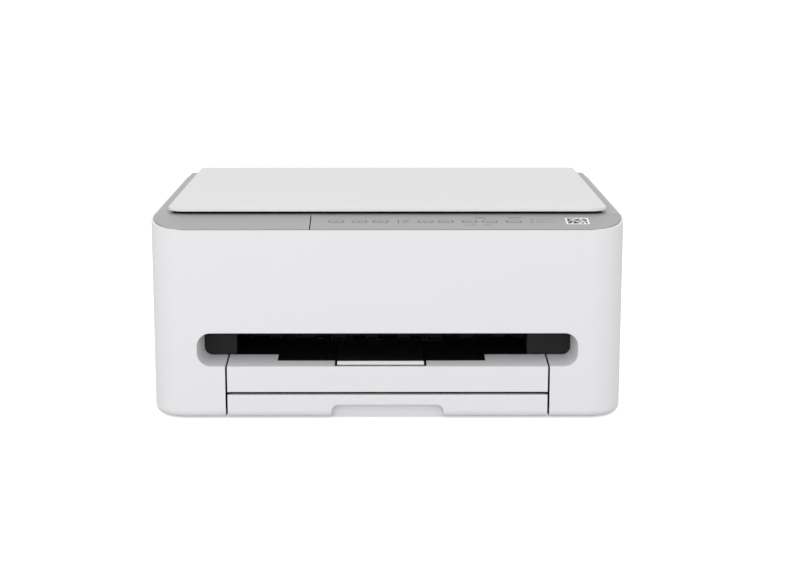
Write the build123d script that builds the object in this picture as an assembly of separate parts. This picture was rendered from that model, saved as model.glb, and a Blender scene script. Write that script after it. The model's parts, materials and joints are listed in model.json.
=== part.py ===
from build123d import *
import math
import os

os.makedirs("parts", exist_ok=True)

# Overall size. X runs to the right, Y to the back, Z up; the origin is on the floor under the middle.
BODY_WIDTH = 418.0
BODY_DEPTH = 340.0
BODY_TOP = 170.4
CORNER_RADIUS = 30.0
REAR_CORNER_RADIUS = 8.0
SHELL_BOTTOM = 1.5
SHELL_WALL = 2.6
BOTTOM_FILLET = 7.0
FOOT_WALL = 7.6
RIM_WALL = 1.2
RIM_FILLET = 0.5
SEAT = 0.3
HALF_WIDTH = BODY_WIDTH / 2
FRONT = -BODY_DEPTH / 2
BACK = BODY_DEPTH / 2

# Step in the shell where the scanner unit's rear skirt sits.
REAR_STEP_Y = BACK - 32.0
REAR_STEP_TOP = BODY_TOP - 17.9

# Paper throat in the front face.
THROAT_HALF_WIDTH = 168.2
THROAT_BOTTOM = 48.6
THROAT_TOP = 78.5
THROAT_RADIUS = 12.0
THROAT_DEPTH = 35.0
THROAT_BACK_HALF_WIDTH = 165.0
THROAT_BACK_BOTTOM = 51.4
THROAT_BACK_RADIUS = 7.5
THROAT_WALL = 2.0
THROAT_RIM_FILLET = 0.8
BLOCK_INNER_LEFT = -136.0
BLOCK_INNER_RIGHT = 126.0
BLOCK_DEPTH = 22.0

# Bay for the two tiers below the throat.
BAY_HALF_WIDTH = 143.8
BAY_GAP = 1.8
TIER_HALF_WIDTH = BAY_HALF_WIDTH - BAY_GAP
TIER_SPLIT = 22.8
TIER_GAP = 2.6
PANEL_THICKNESS = 3.0
PANEL_FILLET = 0.5

# Scanner frame: the grey ring with the sloped strip.
FRAME_GAP = 0.3
FRAME_INSET = RIM_WALL + FRAME_GAP
FRAME_CORNER_RADIUS = 34.0
FRAME_LIFT = 0.5
DECK_TOP = 178.2
STRIP_DEPTH = 40.4
FRAME_SKIN = 2.4
SKIRT_BOTTOM = BODY_TOP - 14.4
HINGE_Y = BACK - 9.5
HINGE_Z = BODY_TOP - 6.4
HINGE_PIN_RADIUS = 3.0
CHANNEL_FRONT = BACK - 13.5
CHANNEL_FLOOR = DECK_TOP - 6.4
CHANNEL_HALF_WIDTH = HALF_WIDTH - 9.0
BEZEL_FRONT = FRONT + 50.3
BEZEL_BACK = BACK - 18.0
BEZEL_HALF_WIDTH = HALF_WIDTH - 16.0
SKIRT_GAP = 0.6
SKIRT_SLANT = 1.8

# Lid.
LID_HALF_WIDTH = HALF_WIDTH - 12.0
LID_FRONT = FRONT + STRIP_DEPTH
LID_BACK = BACK - 2.4
LID_TOP = DECK_TOP + 5.6
LID_THICKNESS = 2.7
LID_CORNER_RADIUS = 16.0
LID_REAR_RADIUS = 6.0
LID_EDGE_FILLET = 0.6
LID_AXIS_Y = BACK - 9.0
LID_AXIS_Z = DECK_TOP + 0.7
LID_PIN_RADIUS = 1.5
LID_POST_X = 130.0
LID_POST_WIDTH = 16.0
LID_POST_DEPTH = 6.0
LID_LIFT = 10.0
POST_STOP_GAP = 0.5
POST_WEB_HEIGHT = 7.2
POST_WEB_HALF = 2.0
RUN_CLEARANCE = 0.05

# Glass and sensor.
GLASS_HALF_WIDTH = 155.0
GLASS_FRONT = BEZEL_FRONT + 14.7
GLASS_BACK = BEZEL_BACK - 33.0
GLASS_THICKNESS = 2.4
GLASS_LEDGE = 5.0
TUB_BOTTOM = BODY_TOP - 18.4
TUB_WALL = 2.0
TUB_TOP = DECK_TOP - 4.2
TUB_HALF_WIDTH = HALF_WIDTH - 4.4
TUB_RADIUS = 25.0
SENSOR_WIDTH = 16.0
SENSOR_HEIGHT = 12.0
SENSOR_START_X = -146.0
PULLEY_RADIUS = 6.4
BELT_THICKNESS = 1.0

# Control panel on the strip.
PANEL_LEFT = -68.5
PANEL_SPLIT = 1.0
PANEL_SKIN = 2.4
KEY_LENGTH = 14.0
KEY_WIDTH = 7.0
KEY_TRAVEL = 0.6
KEY_GAP = 0.3
KEY_PROUD = 0.2
KEY_CENTRES = (-45.4, -24.5, -6.1, 33.5, 51.4, 72.4, 90.3, 111.5)
BOARD_DROP = 6.4
BOARD_THICKNESS = 1.6
LED_X = 9.7
LED_PITCH = 3.4
LED_RADIUS = 0.7
KEY_ROW_Y = 1.3

# Cassette.
CASSETTE_FLOOR = 5.0
CASSETTE_BACK = BACK - 30.0
CASSETTE_WALL = 2.0
CASSETTE_TRAY_INSET = 2.0
GRIP_HALF_WIDTH = 50.0
GRIP_TOP = 13.9
GRIP_RADIUS = 7.0
GRIP_DEPTH = 8.0
GRIP_WALL_BOTTOM = 1.0
PAPER_HALF_WIDTH = 106.0
GUIDE_PINION_RADIUS = 8.0
FOOT_OVERLAP = 12.0
REAR_GUIDE_Y = CASSETTE_BACK - 6.0

# Output tray and its extension.
TRAY_BACK = -68.0
NOTCH_LEFT = -98.5
NOTCH_RIGHT = 87.6
NOTCH_FRONT_DEPTH = 17.0
LIP_LEFT = -44.6
LIP_RIGHT = 32.2
LIP_GAP = 2.3
LIP_DEPTH = 5.0
LIP_RISE = 1.5
LIP_SLANT = 1.2
LIP_FRONT_DEPTH = 3.4
EXTENSION_THICKNESS = 1.5

# Openings at the back.
INLET_X = -HALF_WIDTH + 41.0
PORT_X = HALF_WIDTH - 43.0
INLET_DEPTH = 20.0
INLET_INSET = 0.2

# Base.
BASE_BOTTOM = 1.8
BASE_THICKNESS = 2.5
BASE_TOP = BASE_BOTTOM + BASE_THICKNESS
BAY_WALL = 2.0
BAY_WALL_TOP = TIER_SPLIT + 22.0
FOOT_RADIUS = 8.0
SCREW_SHANK = 1.5
SCREW_HEAD = 3.0

# Print mechanism.
PLATEN_TOP = 60.0
PLATEN_HALF_WIDTH = 118.0
FEED_AXIS_Y = 8.0
FEED_RADIUS = 6.0
FEED_AXIS_Z = PLATEN_TOP - FEED_RADIUS
PINCH_RADIUS = 3.0
EJECT_AXIS_Y = -58.0
EJECT_RADIUS = 5.5
EJECT_AXIS_Z = PLATEN_TOP - EJECT_RADIUS
STAR_RADIUS = 4.0
NIP_GAP = 0.4
SHAFT_RADIUS = 3.0
SIDE_PLATE_X = HALF_WIDTH - 21.0
PLATE_THICKNESS = 1.2
FRAME_FRONT = -75.0
FRAME_BACK = 34.0
FRAME_TOP = 128.0
RAIL_Y = 22.0
RAIL_Z = 80.0
RAIL_RADIUS = 4.0
CARRIAGE_WIDTH = 64.0
CARRIAGE_HOME_X = SIDE_PLATE_X - 38.0
CARRIAGE_FRONT = -50.0
CARRIAGE_BACK = 12.0
CARRIAGE_BOTTOM = 68.0
CARRIAGE_TOP = 116.0
CARRIAGE_WALL = 2.0
HEAD_BOTTOM = 62.3
BELT_Y = 24.0
BELT_Z = 100.0
BELT_WIDTH = 5.0
BELT_PULLEY_X = SIDE_PLATE_X - 8.0
MOTOR_RADIUS = 14.0
TURN_Y = BACK - 56.0
TURN_Z = 53.8
TURN_RADIUS = 28.0
TURN_INNER_RADIUS = 23.0
GUIDE_SKIN = 2.0
PICKUP_PIVOT_Y = 28.0
PICKUP_PIVOT_Z = 36.0
PICKUP_Y = 86.0
PICKUP_RADIUS = 9.0
PICKUP_HALF_WIDTH = 15.0


def box(x0, x1, y0, y1, z0, z1):
    """A plain block between two corners."""
    return Pos((x0 + x1) / 2, (y0 + y1) / 2, (z0 + z1) / 2) * Box(x1 - x0, y1 - y0, z1 - z0)


def rod_x(x0, x1, y, z, radius):
    """A round bar along X."""
    return Pos((x0 + x1) / 2, y, z) * Rot(0, 90, 0) * Cylinder(radius, x1 - x0)


def rod_y(x, y0, y1, z, radius):
    """A round bar along Y."""
    return Pos(x, (y0 + y1) / 2, z) * Rot(90, 0, 0) * Cylinder(radius, y1 - y0)


def rod_z(x, y, z0, z1, radius):
    """A round bar along Z."""
    return Pos(x, y, (z0 + z1) / 2) * Cylinder(radius, z1 - z0)


def rounded_block(half_width, y0, y1, z0, z1, radius, rear_radius):
    """A block with its four upright edges rounded, the front pair and the rear pair each in its own size."""
    block = box(-half_width, half_width, y0, y1, z0, z1)
    edges = block.edges().filter_by(Axis.Z).sort_by(Axis.Y)
    block = fillet(edges[:2], radius)
    edges = block.edges().filter_by(Axis.Z).filter_by_position(Axis.Y, y1 - 0.01, y1 + 0.01)
    return fillet(edges, rear_radius)


def along_x(points, half_width):
    """A solid whose outline is drawn in Y and Z and runs along X."""
    wire = Polyline(*[(0, y, z) for y, z in points], close=True)
    face = make_face(wire)
    return extrude(face, amount=half_width, dir=(1, 0, 0), both=True)


def round_slot_face(y, half_width, z0, z1, radius):
    """An upright rounded rectangle, facing the front."""
    plane = Plane(origin=(0, y, (z0 + z1) / 2), x_dir=(1, 0, 0), z_dir=(0, -1, 0))
    return plane * RectangleRounded(2 * half_width, z1 - z0, radius)


def belt_loop(x0, x1, y0, y1, z, radius):
    """A flat belt round two pulleys that lie along X."""
    outer_radius = radius + SEAT + BELT_THICKNESS
    inner_radius = radius + SEAT
    outer = box(x0, x1, y0, y1, z - outer_radius, z + outer_radius)
    inner = box(x0, x1, y0, y1, z - inner_radius, z + inner_radius)
    for end in (x0, x1):
        outer += rod_y(end, y0, y1, z, outer_radius)
        inner += rod_y(end, y0, y1, z, inner_radius)
    return outer - inner


def save(shape, name):
    """Write one node."""
    shape.label = name
    export_step(shape, f"parts/{name}.step")


def save_group(shapes, name):
    """Write several separate solids as one node."""
    save(Compound(children=list(shapes)), name)


def throat_cut(grow):
    """The funnel of the paper throat, or the block round it when grown."""
    front_face = round_slot_face(FRONT - 0.01 + (SHELL_WALL / 2 if grow else 0), THROAT_HALF_WIDTH + grow,
                                 THROAT_BOTTOM - grow, THROAT_TOP + grow, THROAT_RADIUS + grow)
    back_face = round_slot_face(FRONT + THROAT_DEPTH, THROAT_BACK_HALF_WIDTH + grow,
                                THROAT_BACK_BOTTOM - grow, THROAT_TOP + grow, THROAT_BACK_RADIUS + grow)
    return loft([front_face, back_face], ruled=True)


def throat_rim(shell):
    """The edges round the throat's mouth, in the front face."""
    edges = shell.edges().filter_by_position(Axis.Y, FRONT - 0.01, FRONT + 0.01)
    return edges.filter_by_position(Axis.Z, THROAT_BOTTOM - 1, THROAT_TOP + 1)


def rear_cover_block(grow):
    """The plate that closes the back of the paper turn, or its opening when grown."""
    return box(-128 - grow, 128 + grow, BACK - SHELL_WALL, BACK, 30 - grow, 118 + grow)


def shell_outline():
    """Side view of the shell: its rim climbs beside the sloped strip, then runs level to the rear step."""
    rim_top = DECK_TOP - SEAT
    return [(FRONT, SHELL_BOTTOM), (BACK, SHELL_BOTTOM), (BACK, REAR_STEP_TOP), (REAR_STEP_Y, REAR_STEP_TOP),
            (REAR_STEP_Y, rim_top), (LID_FRONT, rim_top), (FRONT, BODY_TOP)]


def outer_shell():
    block = rounded_block(HALF_WIDTH, FRONT, BACK, SHELL_BOTTOM, DECK_TOP, CORNER_RADIUS, REAR_CORNER_RADIUS)
    block = fillet(block.faces().sort_by(Axis.Z)[0].edges(), BOTTOM_FILLET)
    shell = block & along_x(shell_outline(), HALF_WIDTH + 1)
    hollow_bottom = SHELL_BOTTOM + FOOT_WALL
    shell -= rounded_block(HALF_WIDTH - SHELL_WALL, FRONT + SHELL_WALL, BACK - SHELL_WALL, hollow_bottom,
                           DECK_TOP, CORNER_RADIUS - SHELL_WALL, REAR_CORNER_RADIUS - SHELL_WALL)
    shell -= rounded_block(HALF_WIDTH - RIM_WALL, FRONT + RIM_WALL, BACK - RIM_WALL, BODY_TOP, DECK_TOP + 1,
                           FRAME_CORNER_RADIUS + FRAME_GAP, REAR_CORNER_RADIUS - RIM_WALL)
    shell -= rounded_block(HALF_WIDTH - FOOT_WALL, FRONT + FOOT_WALL, BACK - FOOT_WALL, SHELL_BOTTOM - 1,
                           hollow_bottom + 1, CORNER_RADIUS - FOOT_WALL, FOOT_WALL / 2)
    shell += throat_cut(THROAT_WALL)
    shell -= throat_cut(0)
    shell = fillet(throat_rim(shell), THROAT_RIM_FILLET)
    bay_top = THROAT_BACK_BOTTOM + THROAT_WALL + 3
    shell -= box(-BAY_HALF_WIDTH, BAY_HALF_WIDTH, FRONT - 1, FRONT + THROAT_DEPTH + 1, 0, bay_top)
    shell -= rear_cover_block(SEAT)
    shell -= inlet_block(SEAT)
    shell -= data_port_block(SEAT)
    return shell


def inlet_block(grow):
    """The mains inlet housing at the back, left as seen from the front."""
    outer = BACK + grow - INLET_INSET
    return box(INLET_X - 14 - grow, INLET_X + 14 + grow, BACK - INLET_DEPTH, outer, 14 - grow, 36 + grow)


def data_port_block(grow):
    """The data port at the back, right as seen from the front."""
    outer = BACK + grow - INLET_INSET
    return box(PORT_X - 6 - grow, PORT_X + 6 + grow, BACK - INLET_DEPTH, outer, 42 - grow, 53 + grow)


def inlet_socket():
    socket = inlet_block(0)
    socket -= box(INLET_X - 11, INLET_X + 11, BACK - 12, BACK, 17, 33)
    for x in (INLET_X - 4, INLET_X + 4):
        socket += rod_y(x, BACK - 13, BACK - 3, 25, 1.2)
    return socket


def base_tray():
    inset = FOOT_WALL + SEAT
    base = rounded_block(HALF_WIDTH - inset, FRONT + inset, BACK - inset, BASE_BOTTOM, BASE_TOP,
                         CORNER_RADIUS - inset, FOOT_WALL / 2)
    base -= box(-BAY_HALF_WIDTH, BAY_HALF_WIDTH, FRONT, FRONT + GRIP_DEPTH + 5, 0, BASE_TOP + 1)
    for side in (-1, 1):
        inner = side * (BAY_HALF_WIDTH + SEAT)
        outer = side * (BAY_HALF_WIDTH + SEAT + BAY_WALL)
        base += box(min(inner, outer), max(inner, outer), FRONT + THROAT_DEPTH + 2, CASSETTE_BACK + 6,
                    BASE_BOTTOM, BAY_WALL_TOP)
    back_wall_y = CASSETTE_BACK + 4
    base += box(-BAY_HALF_WIDTH - SEAT, BAY_HALF_WIDTH + SEAT, back_wall_y, back_wall_y + BAY_WALL,
                BASE_BOTTOM, 24)
    base += box(-BAY_HALF_WIDTH - SEAT, BAY_HALF_WIDTH + SEAT, FRONT + THROAT_DEPTH + 2, TRAY_BACK - 4,
                TIER_SPLIT + SEAT, TIER_SPLIT + TIER_GAP - SEAT)
    base += box(-BAY_HALF_WIDTH + SEAT, BAY_HALF_WIDTH - SEAT, FRONT + 5, FRONT + THROAT_DEPTH + 2,
                TIER_SPLIT + SEAT, TIER_SPLIT + TIER_GAP - SEAT)
    base -= rod_x(-HALF_WIDTH, HALF_WIDTH, PICKUP_PIVOT_Y, PICKUP_PIVOT_Z, SHAFT_RADIUS + SEAT)
    for x, y in screw_places():
        base -= rod_z(x, y, 0, BASE_TOP + 1, SCREW_SHANK + SEAT)
    return base


def screw_places():
    """Six screws from below, three on each side."""
    return [(side * (HALF_WIDTH - 48), y) for side in (-1, 1) for y in (FRONT + 50, 10.0, BACK - 40)]


def base_screws():
    screws = []
    for x, y in screw_places():
        head = rod_z(x, y, BASE_BOTTOM - 1.2, BASE_BOTTOM, SCREW_HEAD)
        head -= box(x - 2, x + 2, y - 0.4, y + 0.4, BASE_BOTTOM - 1.3, BASE_BOTTOM - 0.6)
        screws.append(head + rod_z(x, y, BASE_BOTTOM, BASE_TOP, SCREW_SHANK))
    return screws


def rubber_feet():
    return [rod_z(side * (HALF_WIDTH - 33), y, 0, BASE_BOTTOM, FOOT_RADIUS)
            for side in (-1, 1) for y in (FRONT + 30, BACK - 30)]


def rear_cover():
    cover = rear_cover_block(0)
    for x in range(-110, 111, 20):
        cover -= box(x - 7, x + 7, BACK - 0.8, BACK + 1, 62, 64)
    grip = box(-20, 20, BACK - 1.4, BACK + 1, 100, 110)
    return cover - grip


def throat_blocks():
    """Dark blocks at both ends of the throat, behind its mouth."""
    blocks = []
    y0 = FRONT + THROAT_DEPTH + SEAT
    for side, inner in ((-1, BLOCK_INNER_LEFT), (1, BLOCK_INNER_RIGHT)):
        outer = side * (THROAT_BACK_HALF_WIDTH + 6)
        block = box(min(inner, outer), max(inner, outer), y0, y0 + BLOCK_DEPTH, THROAT_BACK_BOTTOM + SEAT,
                    THROAT_TOP + 4)
        x0, x1 = sorted((side * (BAY_HALF_WIDTH + SEAT), outer))
        block += box(x0, x1, y0, y0 + BLOCK_DEPTH, BAY_WALL_TOP + SEAT, THROAT_TOP)
        blocks.append(block)
    return blocks + [front_hood()]


def front_hood():
    """Dark cover over the eject rollers, which closes the view above the throat."""
    y0 = FRONT + THROAT_DEPTH + SEAT
    x0, x1 = BLOCK_INNER_LEFT + SEAT, BLOCK_INNER_RIGHT - SEAT
    hood = box(x0, x1, y0, y0 + 2, 73, THROAT_TOP + 4)
    hood += box(x0, x1, y0, -66, THROAT_TOP + 2, THROAT_TOP + 4)
    for x in range(-120, 121, 20):
        hood += box(x - 0.8, x + 0.8, y0 + 2, -70, 74, THROAT_TOP + 2)
    return hood


def main_frame():
    """Bent steel frame: two side plates and a back plate that carry shafts and motors."""
    x0, x1 = SIDE_PLATE_X, SIDE_PLATE_X + PLATE_THICKNESS
    frame = box(-x1, x1, FRAME_BACK, FRAME_BACK + PLATE_THICKNESS, 76, FRAME_TOP)
    frame += box(-x1, x1, FRAME_BACK - 8, FRAME_BACK + PLATE_THICKNESS, FRAME_TOP - PLATE_THICKNESS, FRAME_TOP)
    for side in (-1, 1):
        a, b = sorted((side * x0, side * x1))
        plate = box(a, b, FRAME_FRONT, FRAME_BACK + PLATE_THICKNESS, BASE_TOP, FRAME_TOP)
        plate -= box(a - 1, b + 1, FRAME_FRONT - 1, FRAME_FRONT + 14, 90, FRAME_TOP + 1)
        frame += plate
        frame += box(*sorted((side * (x0 - 12), side * x0)), -40, 20, BASE_TOP, BASE_TOP + PLATE_THICKNESS)
    for y, z in ((FEED_AXIS_Y, FEED_AXIS_Z), (EJECT_AXIS_Y, EJECT_AXIS_Z)):
        frame -= rod_x(-x1 - 1, x1 + 1, y, z, SHAFT_RADIUS + RUN_CLEARANCE)
    frame -= rod_x(-x1 - 1, x1 + 1, RAIL_Y, RAIL_Z, RAIL_RADIUS + RUN_CLEARANCE)
    frame -= rod_x(-x1 - 1, x1 + 1, PICKUP_PIVOT_Y, PICKUP_PIVOT_Z, SHAFT_RADIUS + RUN_CLEARANCE)
    for x in (-BELT_PULLEY_X, BELT_PULLEY_X):
        frame += rod_y(x, BELT_Y - 0.5, FRAME_BACK, BELT_Z, 1.5)
    return frame


def steel_shafts():
    """The carriage shaft, and the fixed shaft that the pick-up arm swings on."""
    end = SIDE_PLATE_X + PLATE_THICKNESS
    return [rod_x(-end, end, RAIL_Y, RAIL_Z, RAIL_RADIUS),
            rod_x(-end, end, PICKUP_PIVOT_Y, PICKUP_PIVOT_Z, SHAFT_RADIUS)]


def carriage_x(side):
    return CARRIAGE_HOME_X + side * CARRIAGE_WIDTH / 2


def cartridge_span(index):
    """Left and right of each cartridge's pocket, the colour one wider."""
    left = carriage_x(-1) + CARRIAGE_WALL
    split = left + 26
    return (left, split) if index == 0 else (split + CARRIAGE_WALL, carriage_x(1) - CARRIAGE_WALL)


def carriage():
    body = box(carriage_x(-1), carriage_x(1), CARRIAGE_FRONT, CARRIAGE_BACK, CARRIAGE_BOTTOM, CARRIAGE_TOP)
    for index in (0, 1):
        x0, x1 = cartridge_span(index)
        body -= box(x0, x1, CARRIAGE_FRONT + CARRIAGE_WALL, CARRIAGE_BACK - 6, CARRIAGE_BOTTOM + 2,
                    CARRIAGE_TOP + 1)
        body -= box(x0 + 3, x1 - 3, CARRIAGE_FRONT + 4, CARRIAGE_BACK - 20, 60, CARRIAGE_BOTTOM + 3)
    body += box(carriage_x(-1), carriage_x(1), CARRIAGE_BACK, RAIL_Y + 6, RAIL_Z - 7, RAIL_Z + 7)
    body -= rod_x(carriage_x(-1) - 1, carriage_x(1) + 1, RAIL_Y, RAIL_Z, RAIL_RADIUS + RUN_CLEARANCE)
    clamp_z = BELT_Z + PULLEY_RADIUS + SEAT + BELT_THICKNESS + SEAT
    body += box(CARRIAGE_HOME_X - 6, CARRIAGE_HOME_X + 6, CARRIAGE_BACK, BELT_Y + BELT_WIDTH, clamp_z,
                clamp_z + 3)
    return body


def cartridge(index):
    x0, x1 = cartridge_span(index)
    ink = box(x0 + SEAT, x1 - SEAT, CARRIAGE_FRONT + CARRIAGE_WALL + SEAT, CARRIAGE_BACK - 6 - SEAT,
              CARRIAGE_BOTTOM + 2 + SEAT, CARRIAGE_TOP - 6)
    ink += box(x0 + 3.5, x1 - 3.5, CARRIAGE_FRONT + 4.5, CARRIAGE_BACK - 20.5, HEAD_BOTTOM, CARRIAGE_BOTTOM + 3)
    return ink


def carriage_belt():
    return belt_loop(-BELT_PULLEY_X, BELT_PULLEY_X, BELT_Y, BELT_Y + BELT_WIDTH, BELT_Z, PULLEY_RADIUS)


def belt_pulley(x):
    pulley = rod_y(x, BELT_Y + 0.2, BELT_Y + BELT_WIDTH - 0.2, BELT_Z, PULLEY_RADIUS)
    return pulley - rod_y(x, BELT_Y - 1, BELT_Y + BELT_WIDTH + 1, BELT_Z, 1.5 + RUN_CLEARANCE)


def carriage_motor():
    motor = rod_y(-BELT_PULLEY_X + 10, FRAME_BACK + PLATE_THICKNESS, FRAME_BACK + 26, BELT_Z, MOTOR_RADIUS)
    return motor


def encoder_strip():
    return box(-SIDE_PLATE_X, SIDE_PLATE_X, 16, 16.4, FRAME_TOP - 12, FRAME_TOP - 6)


def feed_roller():
    """Line feed roller with its shaft and the belt wheel at its right end."""
    roller = rod_x(-PLATEN_HALF_WIDTH, PLATEN_HALF_WIDTH, FEED_AXIS_Y, FEED_AXIS_Z, FEED_RADIUS)
    roller += rod_x(-SIDE_PLATE_X - 4, SIDE_PLATE_X + 12, FEED_AXIS_Y, FEED_AXIS_Z, SHAFT_RADIUS)
    roller += rod_x(SIDE_PLATE_X + 5, SIDE_PLATE_X + 10, FEED_AXIS_Y, FEED_AXIS_Z, 10)
    return roller


def eject_roller():
    roller = rod_x(-SIDE_PLATE_X - 4, SIDE_PLATE_X + 12, EJECT_AXIS_Y, EJECT_AXIS_Z, SHAFT_RADIUS)
    for x in range(-105, 106, 30):
        roller += rod_x(x - 6, x + 6, EJECT_AXIS_Y, EJECT_AXIS_Z, EJECT_RADIUS)
    roller += rod_x(SIDE_PLATE_X + 5, SIDE_PLATE_X + 10, EJECT_AXIS_Y, EJECT_AXIS_Z, 10)
    return roller


def feed_belt():
    """Belt that ties the feed and eject rollers together at the right end."""
    x0, x1 = SIDE_PLATE_X + 5.2, SIDE_PLATE_X + 9.8
    inner, outer = 10 + SEAT, 10 + SEAT + BELT_THICKNESS
    ends = ((FEED_AXIS_Y, FEED_AXIS_Z), (EJECT_AXIS_Y, EJECT_AXIS_Z))
    rings = []
    for radius in (outer, inner):
        loop = along_x([(EJECT_AXIS_Y, EJECT_AXIS_Z - radius), (FEED_AXIS_Y, FEED_AXIS_Z - radius),
                        (FEED_AXIS_Y, FEED_AXIS_Z + radius), (EJECT_AXIS_Y, EJECT_AXIS_Z + radius)],
                       (x1 - x0) / 2)
        loop = Pos((x0 + x1) / 2, 0, 0) * loop
        for y, z in ends:
            loop += rod_x(x0, x1, y, z, radius)
        rings.append(loop)
    return rings[0] - rings[1]


def pinch_rollers():
    z = PLATEN_TOP + NIP_GAP + PINCH_RADIUS
    shaft = rod_x(-100, 100, FEED_AXIS_Y, z, 1.2)
    for x in range(-90, 91, 30):
        shaft += rod_x(x - 8, x + 8, FEED_AXIS_Y, z, PINCH_RADIUS)
    return shaft


def pinch_holder():
    """Bar behind the feed roller that carries the pinch rollers."""
    z = PLATEN_TOP + NIP_GAP + PINCH_RADIUS
    holder = box(-SIDE_PLATE_X, SIDE_PLATE_X, 14, 30, z - 1, z + 2)
    for x in range(-105, 106, 30):
        holder += box(x - 1.5, x + 1.5, FEED_AXIS_Y - 2.2, 14, z - 2.2, z + 2.2)
        holder -= rod_x(x - 2, x + 2, FEED_AXIS_Y, z, 1.2 + RUN_CLEARANCE)
    return holder


def platen():
    deck = box(-PLATEN_HALF_WIDTH, PLATEN_HALF_WIDTH, -46, -1, PLATEN_TOP - 6, PLATEN_TOP - 3)
    for x in range(-112, 113, 16):
        deck += box(x - 1, x + 1, -46, -1, PLATEN_TOP - 3, PLATEN_TOP)
    deck += box(-SIDE_PLATE_X, SIDE_PLATE_X, -34, -14, PLATEN_TOP - 10, PLATEN_TOP - 6)
    return deck


def star_wheels():
    z = PLATEN_TOP + NIP_GAP + STAR_RADIUS
    shaft = rod_x(-110, 110, EJECT_AXIS_Y, z, 1.0)
    for x in range(-105, 106, 30):
        shaft += rod_x(x - 0.6, x + 0.6, EJECT_AXIS_Y, z, STAR_RADIUS)
    return shaft


def star_holder():
    z = PLATEN_TOP + NIP_GAP + STAR_RADIUS
    holder = box(-SIDE_PLATE_X, SIDE_PLATE_X, EJECT_AXIS_Y - 4, EJECT_AXIS_Y + 4, z + 5, z + 8)
    for x in range(-90, 91, 30):
        holder += box(x - 1.5, x + 1.5, EJECT_AXIS_Y - 3, EJECT_AXIS_Y + 3, z - 2, z + 5)
        holder -= rod_x(x - 2, x + 2, EJECT_AXIS_Y, z, 1.0 + RUN_CLEARANCE)
    return holder


def feed_motor():
    """Motor on the inner face of the right side plate, beside the rollers."""
    return rod_x(SIDE_PLATE_X - 30, SIDE_PLATE_X, -25, 30, MOTOR_RADIUS)


def turn_guide(radius, thickness):
    """Half pipe that turns the sheet from the cassette up to the feed roller."""
    half = rod_x(-112, 112, TURN_Y, TURN_Z, radius + thickness)
    half -= rod_x(-113, 113, TURN_Y, TURN_Z, radius)
    return half & box(-120, 120, TURN_Y, TURN_Y + 60, 0, 120)


def outer_turn_guide():
    guide = turn_guide(TURN_RADIUS, GUIDE_SKIN)
    for x in (-112, 108):
        guide += box(x, x + 4, TURN_Y + TURN_RADIUS + 0.5, BACK - SHELL_WALL - SEAT, TURN_Z - 6, TURN_Z + 6)
    return guide


def inner_turn_guide():
    guide = turn_guide(TURN_INNER_RADIUS - 2, GUIDE_SKIN)
    guide += box(-112, 112, FRAME_BACK + PLATE_THICKNESS + 1, TURN_Y, TURN_Z + TURN_INNER_RADIUS - 2,
                 TURN_Z + TURN_INNER_RADIUS)
    leg = BAY_HALF_WIDTH + SEAT
    guide += box(-leg - BAY_WALL, leg + BAY_WALL, TURN_Y - 6, TURN_Y - 2, TURN_Z + 8, TURN_Z + TURN_INNER_RADIUS)
    for side in (-1, 1):
        x0, x1 = sorted((side * leg, side * (leg + BAY_WALL)))
        guide += box(x0, x1, TURN_Y - 6, TURN_Y - 2, BAY_WALL_TOP + SEAT, TURN_Z + TURN_INNER_RADIUS)
    return guide


def pickup_z():
    return TIER_SPLIT + PICKUP_RADIUS + 1.2


def pickup_arm():
    arm = Part()
    for side in (-1, 1):
        x0, x1 = sorted((side * (PICKUP_HALF_WIDTH + 0.8), side * (PICKUP_HALF_WIDTH + 3.8)))
        arm += rod_x(x0, x1, PICKUP_PIVOT_Y, PICKUP_PIVOT_Z, 6)
        arm += rod_x(x0, x1, PICKUP_Y, pickup_z(), 5)
        bar = along_x([(PICKUP_PIVOT_Y, PICKUP_PIVOT_Z - 4), (PICKUP_Y, pickup_z() - 4),
                       (PICKUP_Y, pickup_z() + 4), (PICKUP_PIVOT_Y, PICKUP_PIVOT_Z + 4)], 1.5)
        arm += Pos((x0 + x1) / 2, 0, 0) * bar
    arm += box(-PICKUP_HALF_WIDTH - 3.8, PICKUP_HALF_WIDTH + 3.8, 44, 60, PICKUP_PIVOT_Z - 1, PICKUP_PIVOT_Z + 2)
    arm -= rod_x(-30, 30, PICKUP_PIVOT_Y, PICKUP_PIVOT_Z, SHAFT_RADIUS + RUN_CLEARANCE)
    arm -= rod_x(-30, 30, PICKUP_Y, pickup_z(), 2 + RUN_CLEARANCE)
    return arm


def pickup_roller():
    roller = rod_x(-PICKUP_HALF_WIDTH, PICKUP_HALF_WIDTH, PICKUP_Y, pickup_z(), PICKUP_RADIUS)
    return roller + rod_x(-PICKUP_HALF_WIDTH - 3.5, PICKUP_HALF_WIDTH + 3.5, PICKUP_Y, pickup_z(), 2)


def maintenance_unit():
    unit = box(122, 178, -48, -6, 46, 57)
    unit += box(126, 147, -42, -12, 57, 61)
    unit += box(152, 174, -42, -12, 57, 61)
    unit -= box(129, 144, -39, -15, 59, 62)
    unit -= box(155, 171, -39, -15, 59, 62)
    unit -= box(120, 180, -34.5, -13.5, PLATEN_TOP - 10.3, PLATEN_TOP - 5.7)
    return unit


def ink_absorber():
    return box(HALF_WIDTH - 52, HALF_WIDTH - 24, BACK - 114, BACK - 30, BASE_TOP + SEAT, 24)


def power_supply():
    x0, y0 = -HALF_WIDTH + 8, BACK - 120
    body = box(x0, x0 + 50, y0, y0 + 98, BASE_TOP + SEAT, 48)
    for step in range(9):
        y = y0 + 10 + step * 10
        body -= box(x0 + 10, x0 + 40, y, y + 4, 46, 49)
    return body


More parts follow.
